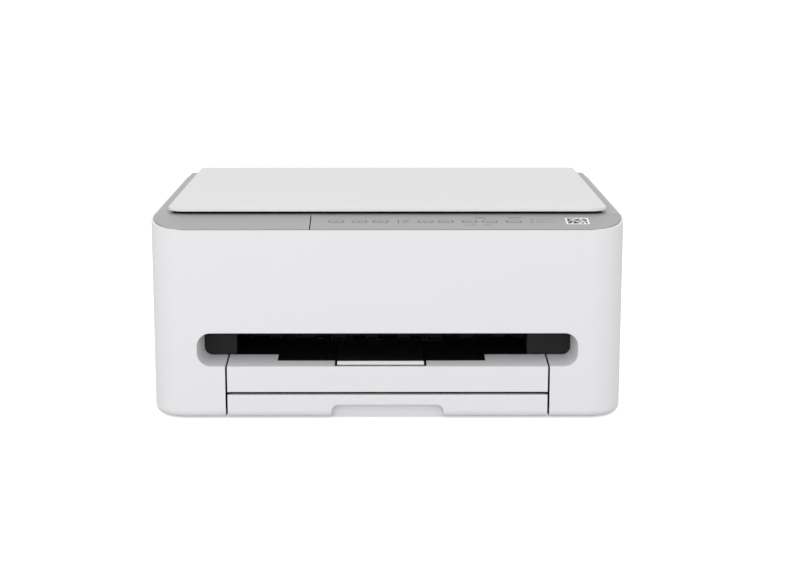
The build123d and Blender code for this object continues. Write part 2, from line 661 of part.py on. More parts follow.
def main_board():
    x0, x1, y0, y1 = HALF_WIDTH - 60, HALF_WIDTH - 14, BACK - 125, BACK - 12
    top = 40 + BOARD_THICKNESS
    board = box(x0, x1, y0, y1, 40, top)
    board -= box(PORT_X - 7, PORT_X + 7, BACK - INLET_DEPTH, BACK, 39, 43)
    for x in (x0 + 4, x1 - 4):
        for y in (y0 + 5, y1 - 12):
            board += rod_z(x, y, BASE_TOP, 40, 2.5)
    board += box(x0 + 12, x0 + 32, y0 + 25, y0 + 45, top, 44)
    board += box(x1 - 10, x1, y0 + 15, y0 + 65, top, 49)
    port = data_port_block(0) - box(PORT_X - 4, PORT_X + 4, BACK - 14, BACK, 44, 51)
    return board + port + box(PORT_X - 2, PORT_X + 2, BACK - 15, BACK - 4, 46.2, 48.8)


def frame_outline():
    """Side view of the scanner frame, as points in Y and Z."""
    low = BODY_TOP + FRAME_LIFT
    front = FRONT + FRAME_INSET
    back = BACK - FRAME_INSET
    skirt = REAR_STEP_Y + SKIRT_GAP
    return [(front, low), (LID_FRONT, DECK_TOP), (back, DECK_TOP), (back, SKIRT_BOTTOM),
            (skirt + SKIRT_SLANT, SKIRT_BOTTOM), (skirt, HINGE_Z), (skirt, low)]


def frame_cavity():
    """The space under the scanner frame's skin."""
    front = FRONT + FRAME_INSET + FRAME_SKIN
    back = BACK - FRAME_INSET - FRAME_SKIN
    rise = DECK_TOP - BODY_TOP - FRAME_LIFT
    slope = rise / (STRIP_DEPTH - FRAME_INSET)
    front_z = BODY_TOP + FRAME_LIFT + FRAME_SKIN * slope - FRAME_SKIN
    cavity = along_x([(front, SKIRT_BOTTOM - 9), (front, front_z), (LID_FRONT, DECK_TOP - FRAME_SKIN),
                      (back, DECK_TOP - FRAME_SKIN), (back, SKIRT_BOTTOM - 9)], HALF_WIDTH)
    bound = rounded_block(HALF_WIDTH - FRAME_INSET - FRAME_SKIN, front, back, SKIRT_BOTTOM - 9,
                          DECK_TOP, FRAME_CORNER_RADIUS - FRAME_SKIN,
                          REAR_CORNER_RADIUS - FRAME_INSET - FRAME_SKIN)
    return cavity & bound


def panel_region(gap):
    """The part of the strip that belongs to the control panel."""
    return box(PANEL_LEFT + gap, HALF_WIDTH + 1, FRONT - 1, LID_FRONT - gap, BODY_TOP - 1, DECK_TOP + 1)


def scanner_skin():
    block = along_x(frame_outline(), HALF_WIDTH)
    return (block & frame_bound()) - frame_cavity()


def scanner_frame():
    frame = scanner_skin() - panel_region(0)
    frame -= box(-BEZEL_HALF_WIDTH, BEZEL_HALF_WIDTH, BEZEL_FRONT, BEZEL_BACK, DECK_TOP - FRAME_SKIN - 1,
                 DECK_TOP + 1)
    frame -= box(-CHANNEL_HALF_WIDTH, CHANNEL_HALF_WIDTH, CHANNEL_FRONT, BACK + 1, CHANNEL_FLOOR, DECK_TOP + 1)
    frame += box(-CHANNEL_HALF_WIDTH, CHANNEL_HALF_WIDTH, CHANNEL_FRONT - FRAME_SKIN, BACK - FRAME_INSET,
                 CHANNEL_FLOOR - FRAME_SKIN, CHANNEL_FLOOR) & frame_bound()
    frame += box(-CHANNEL_HALF_WIDTH, CHANNEL_HALF_WIDTH, CHANNEL_FRONT - FRAME_SKIN, CHANNEL_FRONT,
                 CHANNEL_FLOOR - FRAME_SKIN, DECK_TOP)
    for side in (-1, 1):
        middle = side * LID_POST_X
        half = LID_POST_WIDTH / 2
        frame += box(middle - half - 2.4, middle + half + 2.4, LID_AXIS_Y - LID_POST_DEPTH / 2 - 2.4,
                     LID_AXIS_Y + LID_POST_DEPTH / 2 + 2.4, SKIRT_BOTTOM, CHANNEL_FLOOR)
        frame -= box(middle - half - SEAT, middle + half + SEAT, LID_AXIS_Y - LID_POST_DEPTH / 2 - SEAT,
                     LID_AXIS_Y + LID_POST_DEPTH / 2 + SEAT, SKIRT_BOTTOM - 1, CHANNEL_FLOOR + 1)
        x0, x1 = sorted((side * hinge_lug_x(0), side * hinge_lug_x(1)))
        frame += box(x0, x1, HINGE_Y - 5, HINGE_Y + 5, HINGE_Z - 5, CHANNEL_FLOOR)
        frame -= rod_x(x0 - 1, x1 + 1, HINGE_Y, HINGE_Z, HINGE_PIN_RADIUS + RUN_CLEARANCE)
        notch = sorted((side * (hinge_lug_x(0) - 7.6), side * (hinge_lug_x(0) - SEAT)))
        frame -= box(notch[0], notch[1], HINGE_Y + 5.5, BACK, SKIRT_BOTTOM - 1, HINGE_Z + 5)
    return frame


def frame_bound():
    """The scanner frame's outline from above: fuller corners than the shell's at the front."""
    return rounded_block(HALF_WIDTH - FRAME_INSET, FRONT + FRAME_INSET, BACK - FRAME_INSET, SKIRT_BOTTOM - 1,
                         DECK_TOP + 1, FRAME_CORNER_RADIUS, REAR_CORNER_RADIUS - FRAME_INSET)


def hinge_lug_x(end):
    """Inner and outer face of the scanner frame's hinge lug, measured from the middle."""
    return HALF_WIDTH - 41 + end * 6


def hinge_brackets():
    """Two brackets that stand on the base and hold the scanner unit's hinge pins."""
    brackets = []
    for side in (-1, 1):
        inner = side * (hinge_lug_x(0) - 6.6)
        outer = side * (hinge_lug_x(0) - 0.6)
        x0, x1 = sorted((inner, outer))
        post = box(x0, x1, HINGE_Y - 6, HINGE_Y + 5.5, HINGE_Z - 44, HINGE_Z)
        post += rod_x(x0, x1, HINGE_Y, HINGE_Z, 5)
        post += box(x0, x1, HINGE_Y - 6, BACK - SHELL_WALL - SEAT, HINGE_Z - 44, HINGE_Z - 18)
        pin_end = side * (hinge_lug_x(1) + 1)
        a, b = sorted((outer, pin_end))
        post += rod_x(a, b, HINGE_Y, HINGE_Z, HINGE_PIN_RADIUS)
        brackets.append(post)
    return brackets


def slope_plane():
    """Plane on the panel's surface: local X along the strip, local Y up the slope, local Z outwards."""
    rise = DECK_TOP - BODY_TOP - FRAME_LIFT
    run = STRIP_DEPTH - FRAME_INSET
    angle = math.degrees(math.atan2(rise, run))
    middle_y = FRONT + FRAME_INSET + run / 2
    middle_z = BODY_TOP + FRAME_LIFT + rise / 2
    return Location((0, middle_y, middle_z), (angle, 0, 0))


def key_block(x, length, width, z0, z1):
    """An oval block on the panel, in the slope's own directions."""
    oval = extrude(SlotOverall(length, width), amount=z1 - z0)
    return slope_plane() * Pos(x, KEY_ROW_Y, z0) * oval


def control_panel():
    panel = scanner_skin() & panel_region(PANEL_SPLIT)
    place = slope_plane()
    for x in (PANEL_LEFT + 12, 20.0, 128.0):
        panel += place * rod_z(x, -4, -BOARD_DROP, -PANEL_SKIN / 2, 2.5)
    for x in KEY_CENTRES:
        panel -= key_block(x, KEY_LENGTH + 2 * KEY_GAP, KEY_WIDTH + 2 * KEY_GAP, -PANEL_SKIN - 2, 1)
    for step in (-1, 0, 1):
        panel -= place * rod_z(LED_X, KEY_ROW_Y + step * LED_PITCH, -5, 1, LED_RADIUS + SEAT / 2)
    return panel


def panel_key(x):
    cap = key_block(x, KEY_LENGTH, KEY_WIDTH, -PANEL_SKIN - 1.2, KEY_PROUD)
    stem = slope_plane() * rod_z(x, KEY_ROW_Y, -BOARD_DROP + KEY_TRAVEL + 0.2, -PANEL_SKIN - 1, 1.5)
    return cap + stem


def panel_board():
    """Board under the panel, with its status lights standing up into the panel's holes."""
    place = slope_plane()
    board = place * box(PANEL_LEFT + 5, 140, -10, 10, -BOARD_DROP - BOARD_THICKNESS, -BOARD_DROP)
    for step in (-1, 0, 1):
        board += place * rod_z(LED_X, KEY_ROW_Y + step * LED_PITCH, -BOARD_DROP - 0.1, -0.1, LED_RADIUS)
    return board


def scanner_tub():
    low_top = TUB_BOTTOM + 12
    front = FRONT + 5.5
    back = REAR_STEP_Y - 4
    step = LID_FRONT + 7
    outline = [(front, TUB_BOTTOM), (back, TUB_BOTTOM), (back, TUB_TOP), (step, TUB_TOP), (step, low_top),
               (front, low_top)]
    bound = rounded_block(TUB_HALF_WIDTH, front, back + 1, TUB_BOTTOM - 1, TUB_TOP + 6, TUB_RADIUS, TUB_WALL)
    tub = along_x(outline, HALF_WIDTH) & bound
    inner = TUB_HALF_WIDTH - TUB_WALL
    tub -= box(-inner, inner, step + TUB_WALL, back - TUB_WALL, TUB_BOTTOM + TUB_WALL, TUB_TOP + 6)
    tub -= box(-inner + 26, inner - 26, front + TUB_WALL, step, TUB_BOTTOM + TUB_WALL, TUB_TOP + 6)
    y = sensor_rail_y()
    tub += box(-inner + 10, inner - 10, y - 3, y + 3, TUB_BOTTOM + TUB_WALL, sensor_rail_top())
    return tub


def platen_bezel():
    gap = SEAT
    bezel = box(-BEZEL_HALF_WIDTH + gap, BEZEL_HALF_WIDTH - gap, BEZEL_FRONT + gap, BEZEL_BACK - gap,
                TUB_TOP + gap, DECK_TOP)
    bezel -= box(-BEZEL_HALF_WIDTH - 1, BEZEL_HALF_WIDTH + 1, REAR_STEP_Y - 4, BEZEL_BACK + 1, TUB_TOP - 4,
                 TUB_TOP + 1.5)
    bezel -= box(-GLASS_HALF_WIDTH - gap, GLASS_HALF_WIDTH + gap, GLASS_FRONT - gap, GLASS_BACK + gap,
                 DECK_TOP - GLASS_THICKNESS - gap, DECK_TOP + 1)
    bezel -= box(-GLASS_HALF_WIDTH + GLASS_LEDGE, GLASS_HALF_WIDTH - GLASS_LEDGE, GLASS_FRONT + GLASS_LEDGE,
                 GLASS_BACK - GLASS_LEDGE, TUB_TOP - 4, DECK_TOP)
    return bezel


def platen_glass():
    return box(-GLASS_HALF_WIDTH, GLASS_HALF_WIDTH, GLASS_FRONT, GLASS_BACK,
               DECK_TOP - GLASS_THICKNESS, DECK_TOP)


def sensor_bar():
    """Image sensor bar, parked at the left end under the glass."""
    x0, x1 = SENSOR_START_X - SENSOR_WIDTH / 2, SENSOR_START_X + SENSOR_WIDTH / 2
    top = TUB_TOP - 0.4
    bar = box(x0, x1, GLASS_FRONT + 2, GLASS_BACK - 2, top - SENSOR_HEIGHT, top)
    bar -= box(x0 + 5, x1 - 5, GLASS_FRONT + 6, GLASS_BACK - 6, top - 1, top + 1)
    bar -= box(x0 - 1, x1 + 1, sensor_rail_y() - 3.4, sensor_rail_y() + 3.4, TUB_BOTTOM - 2,
               sensor_rail_top() + SEAT)
    return bar


def sensor_rail_y():
    return 7.0


def sensor_rail_top():
    return TUB_BOTTOM + 14


def scan_motor():
    """Motor on the sensor bar: its pinion runs along the rail in the tub."""
    x = SENSOR_START_X
    return rod_z(x, sensor_rail_y() + 14, TUB_BOTTOM + 4, TUB_TOP - 0.4 - SENSOR_HEIGHT, 7)


def document_lid():
    bottom = LID_TOP - LID_THICKNESS
    lid = rounded_block(LID_HALF_WIDTH, LID_FRONT, LID_BACK, bottom, LID_TOP, LID_CORNER_RADIUS,
                        LID_REAR_RADIUS)
    lid = fillet(lid.faces().sort_by(Axis.Z)[-1].edges(), LID_EDGE_FILLET)
    for side in (-1, 1):
        for end in (-1, 1):
            near = side * LID_POST_X + end * (LID_POST_WIDTH / 2 + 0.6)
            far = near + end * 5
            x0, x1 = sorted((near, far))
            ear = box(x0, x1, LID_AXIS_Y - 3, LID_AXIS_Y + 3, LID_AXIS_Z, bottom + 0.5)
            ear += rod_x(x0, x1, LID_AXIS_Y, LID_AXIS_Z, 3)
            lid += ear - rod_x(x0 - 1, x1 + 1, LID_AXIS_Y, LID_AXIS_Z, LID_PIN_RADIUS + RUN_CLEARANCE)
    return lid


def hinge_posts():
    """Two posts that lift in the scanner frame, each with the lid's pin through its eye."""
    posts = []
    for side in (-1, 1):
        middle = side * LID_POST_X
        half = LID_POST_WIDTH / 2
        foot_top = SKIRT_BOTTOM - LID_LIFT - POST_STOP_GAP
        shoulder = LID_AXIS_Z - POST_WEB_HEIGHT
        post = box(middle - half, middle + half, LID_AXIS_Y - LID_POST_DEPTH / 2, LID_AXIS_Y + LID_POST_DEPTH / 2,
                   foot_top, shoulder)
        post += box(middle - half, middle + half, LID_AXIS_Y - POST_WEB_HALF, LID_AXIS_Y + POST_WEB_HALF,
                    shoulder, LID_AXIS_Z)
        post += box(middle - half, middle + half, LID_AXIS_Y - LID_POST_DEPTH / 2 - 1.4,
                    LID_AXIS_Y + LID_POST_DEPTH / 2 + 1.4, foot_top - 2.5, foot_top)
        post += rod_x(middle - half, middle + half, LID_AXIS_Y, LID_AXIS_Z, POST_WEB_HALF)
        posts.append(post + rod_x(middle - half - 5.4, middle + half + 5.4, LID_AXIS_Y, LID_AXIS_Z, LID_PIN_RADIUS))
    return posts


def pressure_pad():
    return box(-GLASS_HALF_WIDTH + 2, GLASS_HALF_WIDTH - 2, GLASS_FRONT + 2, GLASS_BACK - 2,
               DECK_TOP + 0.5, LID_TOP - LID_THICKNESS)


def lid_bumpers():
    return [box(x - 4, x + 4, y - 4, y + 4, DECK_TOP + SEAT, LID_TOP - LID_THICKNESS)
            for x in (-180, 180) for y in (-100, 140)]


def tier_front_outline(z0, z1):
    """Front of a tier: full bay width, flush with the shell, its front edges softened."""
    panel = box(-TIER_HALF_WIDTH, TIER_HALF_WIDTH, FRONT, FRONT + PANEL_THICKNESS, z0, z1)
    return fillet(panel.faces().sort_by(Axis.Y)[0].edges(), PANEL_FILLET)


def cassette_rounding():
    """A bar that gives the cassette's front the same rounded lower edge as the shell."""
    bar = box(-HALF_WIDTH, HALF_WIDTH, FRONT, FRONT + 2 * THROAT_DEPTH, SHELL_BOTTOM, THROAT_TOP)
    edge = bar.edges().filter_by(Axis.X).sort_by(Axis.Z)[:2].sort_by(Axis.Y)[0]
    return fillet(edge, BOTTOM_FILLET)


def cassette():
    front = tier_front_outline(SHELL_BOTTOM, TIER_SPLIT)
    front += box(-TIER_HALF_WIDTH, TIER_HALF_WIDTH, FRONT + PANEL_FILLET, FRONT + FOOT_WALL, SHELL_BOTTOM,
                 SHELL_BOTTOM + FOOT_WALL)
    front &= cassette_rounding()
    grip = extrude(Plane(origin=(0, FRONT - 1, 0), x_dir=(1, 0, 0), z_dir=(0, 1, 0))
                   * Pos(0, -(GRIP_TOP - 10), 0)
                   * RectangleRounded(2 * GRIP_HALF_WIDTH, 20, GRIP_RADIUS), amount=GRIP_DEPTH + 1)
    front -= grip
    half = TIER_HALF_WIDTH - CASSETTE_TRAY_INSET
    y0 = FRONT + PANEL_THICKNESS
    tray = box(-half, half, y0, CASSETTE_BACK, CASSETTE_FLOOR, TIER_SPLIT)
    tray -= box(-half + CASSETTE_WALL, half - CASSETTE_WALL, y0 + GRIP_DEPTH, CASSETTE_BACK - CASSETTE_WALL,
                CASSETTE_FLOOR + CASSETTE_WALL, TIER_SPLIT + 1)
    tray -= box(-30, 30, CASSETTE_BACK - 10, CASSETTE_BACK + 1, 12, TIER_SPLIT + 1)
    tray -= box(-GRIP_HALF_WIDTH, GRIP_HALF_WIDTH, y0 - 1, FRONT + GRIP_DEPTH, 0, GRIP_TOP)
    tray += box(-GRIP_HALF_WIDTH - 1, GRIP_HALF_WIDTH + 1, FRONT + GRIP_DEPTH, FRONT + GRIP_DEPTH + CASSETTE_WALL,
                GRIP_WALL_BOTTOM, GRIP_TOP + 2)
    rack_y = guide_row_y()
    tray += rod_z(0, rack_y, CASSETTE_FLOOR + CASSETTE_WALL, CASSETTE_FLOOR + CASSETTE_WALL + 4, 2)
    return front + tray


def guide_row_y():
    return -30.0


def side_guide(side):
    """Upright paper guide with a foot that reaches the pinion in the middle."""
    floor = CASSETTE_FLOOR + CASSETTE_WALL + SEAT
    x = side * PAPER_HALF_WIDTH
    a, b = sorted((x, x + side * 2.5))
    guide = box(a, b, guide_row_y() - 50, guide_row_y() + 50, floor, TIER_SPLIT - 1.5)
    foot_y = guide_row_y() + side * (GUIDE_PINION_RADIUS + SEAT)
    y0, y1 = sorted((foot_y, foot_y + side * 6))
    foot_x = sorted((x + side * 2.5, -side * FOOT_OVERLAP))
    return guide + box(foot_x[0], foot_x[1], y0, y1, floor, floor + 2.5)


def guide_pinion():
    floor = CASSETTE_FLOOR + CASSETTE_WALL + SEAT
    disc = rod_z(0, guide_row_y(), floor, floor + 2.5, GUIDE_PINION_RADIUS)
    return disc - rod_z(0, guide_row_y(), floor - 1, floor + 4, 2 + RUN_CLEARANCE)


def rear_guide():
    floor = CASSETTE_FLOOR + CASSETTE_WALL + SEAT
    guide = box(-60, 60, REAR_GUIDE_Y - 22, REAR_GUIDE_Y, floor, floor + 2)
    for side in (-1, 1):
        x0, x1 = sorted((side * 35, side * 60))
        guide += box(x0, x1, REAR_GUIDE_Y - 22, REAR_GUIDE_Y - 19.5, floor, TIER_SPLIT - 1.5)
    return guide


def floor_profile():
    """Top of the throat's floor: it rises from the mouth to the throat's end."""
    return [(FRONT, THROAT_BOTTOM), (FRONT + THROAT_DEPTH, THROAT_BACK_BOTTOM)]


def output_tray():
    bottom = TIER_SPLIT + TIER_GAP
    top = floor_profile()
    skin = 2.0
    plate = along_x(top + [(y, z - skin) for y, z in reversed(top)], TIER_HALF_WIDTH)
    front = tier_front_outline(bottom, THROAT_BOTTOM)
    tray = front + (plate & box(-TIER_HALF_WIDTH, TIER_HALF_WIDTH, FRONT + PANEL_FILLET, 0, 0, THROAT_TOP))
    for side in (-1, 1):
        x0, x1 = sorted((side * TIER_HALF_WIDTH, side * (TIER_HALF_WIDTH - 2)))
        tray += box(x0, x1, FRONT, TRAY_BACK, bottom, THROAT_BOTTOM - 1)
        tray += box(x0, x1, FRONT + THROAT_DEPTH, TRAY_BACK, bottom, THROAT_BACK_BOTTOM - 1)
    tray -= box(NOTCH_LEFT, NOTCH_RIGHT, FRONT + NOTCH_FRONT_DEPTH, 0, THROAT_BOTTOM - 5, THROAT_TOP)
    tray -= box(LIP_LEFT - LIP_GAP, LIP_RIGHT + LIP_GAP, FRONT + PANEL_THICKNESS, 0, THROAT_BOTTOM - 5, THROAT_TOP)
    tray -= box(LIP_LEFT - LIP_GAP, LIP_RIGHT + LIP_GAP, FRONT - 1, 0, extension_bottom() - SEAT / 3, THROAT_TOP)
    return tray


def extension_bottom():
    return THROAT_BOTTOM + 0.1


def tray_inner():
    """Black inner tray that shows through the notch and carries the extension."""
    top = extension_bottom() - SEAT
    half = TIER_HALF_WIDTH - 2 - SEAT
    inner = box(-half, half, FRONT + PANEL_THICKNESS, TRAY_BACK,
                THROAT_BOTTOM - 4, THROAT_BOTTOM - 2.4)
    raised = box(NOTCH_LEFT + 1, NOTCH_RIGHT - 1, FRONT + NOTCH_FRONT_DEPTH + 1, TRAY_BACK, THROAT_BOTTOM - 3, top)
    middle = box(LIP_LEFT - LIP_GAP + SEAT, LIP_RIGHT + LIP_GAP - SEAT, FRONT + PANEL_THICKNESS + SEAT, TRAY_BACK,
                 THROAT_BOTTOM - 3, top)
    inner += raised + middle
    for x0, x1 in ((-half, NOTCH_LEFT + 1), (NOTCH_RIGHT - 1, half)):
        inner += box(x0, x1, FRONT + THROAT_DEPTH + SEAT, TRAY_BACK, THROAT_BOTTOM - 3, THROAT_BACK_BOTTOM - SEAT)
    return inner


def output_extension():
    z0 = extension_bottom()
    z1 = z0 + EXTENSION_THICKNESS
    y0, y1 = FRONT + LIP_FRONT_DEPTH, TRAY_BACK - 2
    outline = [(y0 + LIP_SLANT, z0), (y1, z0), (y1, z1), (y0 + LIP_DEPTH, z1), (y0 + LIP_DEPTH, z1 + LIP_RISE),
               (y0, z1 - EXTENSION_THICKNESS / 3)]
    plate = along_x(outline, (LIP_RIGHT - LIP_LEFT) / 2)
    return Pos((LIP_LEFT + LIP_RIGHT) / 2, 0, 0) * plate


def main():
    save(outer_shell(), "outer_shell")
    save(base_tray(), "base_tray")
    save_group(base_screws(), "base_screws")
    save_group(rubber_feet(), "rubber_feet")
    save(rear_cover(), "rear_cover")
    save(inlet_socket(), "inlet_socket")
    save_group(throat_blocks(), "throat_liner")
    save(main_frame(), "main_frame")
    save_group(steel_shafts(), "steel_shafts")
    save_group([carriage_belt(), feed_belt()], "drive_belts")
    save_group([carriage_motor(), feed_motor()], "drive_motors")
    save(encoder_strip(), "encoder_strip")
    save(pinch_holder(), "pinch_holder")
    save(platen(), "platen")
    save(star_holder(), "star_wheel_holder")
    save(outer_turn_guide(), "outer_turn_guide")
    save(inner_turn_guide(), "inner_turn_guide")
    save(maintenance_unit(), "maintenance_unit")
    save(ink_absorber(), "ink_absorber")
    save(power_supply(), "power_supply")
    save(main_board(), "main_board")
    save_group(hinge_brackets(), "hinge_brackets")
    save(feed_roller(), "feed_roller")
    save(eject_roller(), "eject_roller")
    save(pinch_rollers(), "pinch_rollers")
    save(star_wheels(), "star_wheels")
    save(pickup_arm(), "pickup_arm")
    save(pickup_roller(), "pickup_roller")
    save(carriage(), "carriage")
    save_group([cartridge(0), cartridge(1)], "ink_cartridges")
    save(belt_pulley(-BELT_PULLEY_X), "drive_pulley")
    save(belt_pulley(BELT_PULLEY_X), "idler_pulley")
    save(scanner_frame(), "scanner_frame")
    save(scanner_tub(), "scanner_tub")
    save(platen_bezel(), "platen_bezel")
    save(platen_glass(), "platen_glass")
    save(sensor_bar(), "sensor_bar")
    save(scan_motor(), "scan_motor")
    save(control_panel(), "control_panel")
    save(panel_board(), "panel_board")
    for number, x in enumerate(KEY_CENTRES, start=1):
        save(panel_key(x), f"panel_key_{number}")
    save(document_lid(), "document_lid")
    save(pressure_pad(), "pressure_pad")
    save_group(lid_bumpers(), "lid_bumpers")
    save_group(hinge_posts(), "hinge_posts")
    save(cassette(), "cassette")
    save(side_guide(-1), "paper_guide_left")
    save(side_guide(1), "paper_guide_right")
    save(guide_pinion(), "guide_pinion")
    save(rear_guide(), "paper_guide_rear")
    save(output_tray(), "output_tray")
    save(tray_inner(), "tray_inner")
    save(output_extension(), "output_extension")


if __name__ == "__main__":
    main()
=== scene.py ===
import json
import math
import random

import bmesh
import bpy
from bpy.props import FloatProperty, FloatVectorProperty, IntProperty
from mathutils import Matrix, Vector


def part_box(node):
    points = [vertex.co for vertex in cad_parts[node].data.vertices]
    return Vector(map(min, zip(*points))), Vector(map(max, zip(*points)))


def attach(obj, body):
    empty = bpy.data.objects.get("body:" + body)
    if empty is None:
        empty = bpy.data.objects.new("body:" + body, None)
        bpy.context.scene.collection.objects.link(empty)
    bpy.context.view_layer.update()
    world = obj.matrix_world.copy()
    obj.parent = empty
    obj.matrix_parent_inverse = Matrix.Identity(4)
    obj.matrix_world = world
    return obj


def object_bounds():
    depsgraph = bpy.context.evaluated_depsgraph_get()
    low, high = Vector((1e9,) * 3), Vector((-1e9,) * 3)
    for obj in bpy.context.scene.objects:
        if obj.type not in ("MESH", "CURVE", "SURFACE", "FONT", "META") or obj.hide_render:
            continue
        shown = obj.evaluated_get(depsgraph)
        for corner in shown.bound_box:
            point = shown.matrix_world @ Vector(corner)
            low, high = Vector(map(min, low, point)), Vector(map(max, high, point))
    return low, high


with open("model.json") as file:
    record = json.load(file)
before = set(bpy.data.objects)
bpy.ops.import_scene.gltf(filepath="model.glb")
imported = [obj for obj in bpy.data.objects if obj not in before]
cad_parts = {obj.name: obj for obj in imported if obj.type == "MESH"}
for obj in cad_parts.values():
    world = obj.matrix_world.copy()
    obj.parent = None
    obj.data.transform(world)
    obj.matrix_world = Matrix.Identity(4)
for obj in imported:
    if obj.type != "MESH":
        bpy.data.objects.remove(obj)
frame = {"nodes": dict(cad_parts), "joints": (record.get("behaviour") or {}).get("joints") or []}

bl_info = {
    "name": "Desktop multifunction printer",
    "version": (1, 0, 0),
    "blender": (4, 5, 0),
    "location": "View3D > Sidebar > Printer",
    "description": "Finishes a low printer and scanner with a flat hinged lid",
    "category": "Object",
}

MM = 0.001
IMAGE_WIDTH = 786
FOCAL_PIXELS = 1700.0
SENSOR_WIDTH = 36.0
CAD_BOX = [list(corner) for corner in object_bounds()]

# Camera, turned down and a little to the right
CAMERA_PITCH = 0.197371
CAMERA_YAW = -0.003
CAMERA_X = 0.456 * MM

# Light that reaches the object from all round, and the floor's own white as the camera sees it
ROOM_LEVEL = 0.85
FLOOR_GLOW = 0.62
FLOOR_SIZE = 60.0

# Lines across pieces of two colours; behind the extension's lip the black is painted shade
LIP_DEPTH = 5.1 * MM
PORT_DEPTH = 11.6 * MM

# Key outlines and signs
KEY_COUNT = 8
OUTLINE_LENGTH = 13.2 * MM
OUTLINE_WIDTH = 6.2 * MM
OUTLINE_LINE = 0.7 * MM
OUTLINE_BREAK = 12
SIGN_DASHES = 4
SIGN_DEPTH = 1.1
SIGN_GAP = 0.5

# Marks on the strip, in millimetres across it and up from the keys' centre line
ROW_OFFSET = 9.6
LAMP_X = 9.7
LAMP_SIGN_X = 13.4
LAMP_SIGN_PITCH = 3.4
LIST_X = 126.4
LIST_TOP = 4.6
LIST_PITCH = 3.6

# Patterned label, in millimetres on the strip
LABEL_LOW = Vector((157.4, -7.2))
LABEL_HIGH = Vector((178.0, 9.4))
LABEL_CELLS = (11, 8)
LABEL_MARGIN = 1.7
LABEL_DARK_SHARE = 0.58
CELL_FILL = 0.97

# Repeated small parts
STAR_COUNT = 8
STAR_PITCH = 30 * MM
STAR_THICKNESS = 0.5 * MM
RIB_COUNT = 13
RIB_SIZE = (1.2 * MM, 60 * MM, 0.5 * MM)
RIB_MIDDLE = 55 * MM
CASSETTE_FLOOR = 7.0 * MM
SCREW_SPREAD = 300 * MM
SCREW_HEIGHT = 60 * MM
SCREW_RADIUS = 3.4 * MM
SCREW_DEPTH = 0.8 * MM


class PrinterColours(bpy.types.PropertyGroup):
    """Colours of the printer's surfaces."""
    shell: FloatVectorProperty(name="Shell", description="White casing, tray and cassette", size=4,
                               subtype="COLOR", min=0, max=1, default=(0.78, 0.78, 0.795, 1))
    lid: FloatVectorProperty(name="Lid", description="Flat document lid", size=4,
                             subtype="COLOR", min=0, max=1, default=(0.775, 0.775, 0.79, 1))
    frame: FloatVectorProperty(name="Frame", description="Grey scanner frame and key strip", size=4,
                               subtype="COLOR", min=0, max=1, default=(0.385, 0.385, 0.388, 1))
    # Also laid as painted shade on the extension behind its lip and on the platen bezel in the gap under the
    # lid
    dark: FloatVectorProperty(name="Dark parts", description="Black plastic inside the throat", size=4,
                              subtype="COLOR", min=0, max=1, default=(0.0025, 0.0025, 0.0027, 1))
    inner: FloatVectorProperty(name="Inner parts", description="Dark grey plastic of the mechanism", size=4,
                               subtype="COLOR", min=0, max=1, default=(0.045, 0.046, 0.05, 1))
    print_ink: FloatVectorProperty(name="Marks", description="Printed marks on the strip", size=4,
                                   subtype="COLOR", min=0, max=1, default=(0.10, 0.10, 0.102, 1))


class PrinterSizes(bpy.types.PropertyGroup):
    """Sizes of the pieces that are added round the construction."""
    mark_height: FloatProperty(name="Mark height", description="How far a printed mark stands proud",
                               default=0.00004, min=0.00001, max=0.0005, unit="LENGTH")
    rib_pitch: FloatProperty(name="Rib pitch", description="Distance between the cassette's floor ribs",
                             default=0.018, min=0.004, max=0.05, unit="LENGTH")
    star_points: IntProperty(name="Star points", description="Teeth on each star wheel",
                             default=14, min=6, max=40)
    lamp_pitch: FloatProperty(name="Lamp pitch", description="Distance between the status lights",
                              default=0.0034, min=0.001, max=0.01, unit="LENGTH")
    camera_distance: FloatProperty(name="Camera distance", description="From the camera to the front face",
                                   default=1.460887, min=0.2, max=6, unit="LENGTH")
    camera_height: FloatProperty(name="Camera height", description="Height of the camera over the floor",
                                 default=0.406633, min=0.05, max=3, unit="LENGTH")


def colours():
    return bpy.context.scene.printer_colours


def sizes():
    return bpy.context.scene.printer_sizes


def link(obj):
    """Puts a new object into the scene."""
    bpy.context.scene.collection.objects.link(obj)
    return obj


def shade(name, colour, roughness, grain=900.0, depth=0.00002, variation=0.03, metallic=0.0, specular=0.5):
    """A moulded surface: slight unevenness of colour, fine grain in the bump."""
    mat = bpy.data.materials.new(name)
    mat.use_nodes = True
    nodes, links = mat.node_tree.nodes, mat.node_tree.links
    body = nodes["Principled BSDF"]
    body.inputs["Roughness"].default_value = roughness
    body.inputs["Metallic"].default_value = metallic
    body.inputs["Specular IOR Level"].default_value = specular
    coords = nodes.new("ShaderNodeTexCoord")
    broad = nodes.new("ShaderNodeTexNoise")
    broad.inputs["Scale"].default_value = 14.0
    broad.inputs["Detail"].default_value = 3.0
    tint = nodes.new("ShaderNodeMix")
    tint.data_type = "RGBA"
    low, high = 1.0 - variation, 1.0 + variation
    tint.inputs["A"].default_value = (*[min(1.0, c * low) for c in colour[:3]], 1)
    tint.inputs["B"].default_value = (*[min(1.0, c * high) for c in colour[:3]], 1)
    fine = nodes.new("ShaderNodeTexNoise")
    fine.inputs["Scale"].default_value = grain
    fine.inputs["Detail"].default_value = 2.0
    bump = nodes.new("ShaderNodeBump")
    bump.inputs["Strength"].default_value = 1.0
    bump.inputs["Distance"].default_value = depth
    links.new(coords.outputs["Object"], broad.inputs["Vector"])
    links.new(coords.outputs["Object"], fine.inputs["Vector"])
    links.new(broad.outputs["Fac"], tint.inputs["Factor"])
    links.new(tint.outputs["Result"], body.inputs["Base Color"])
    links.new(fine.outputs["Fac"], bump.inputs["Height"])
    links.new(bump.outputs["Normal"], body.inputs["Normal"])
    return mat


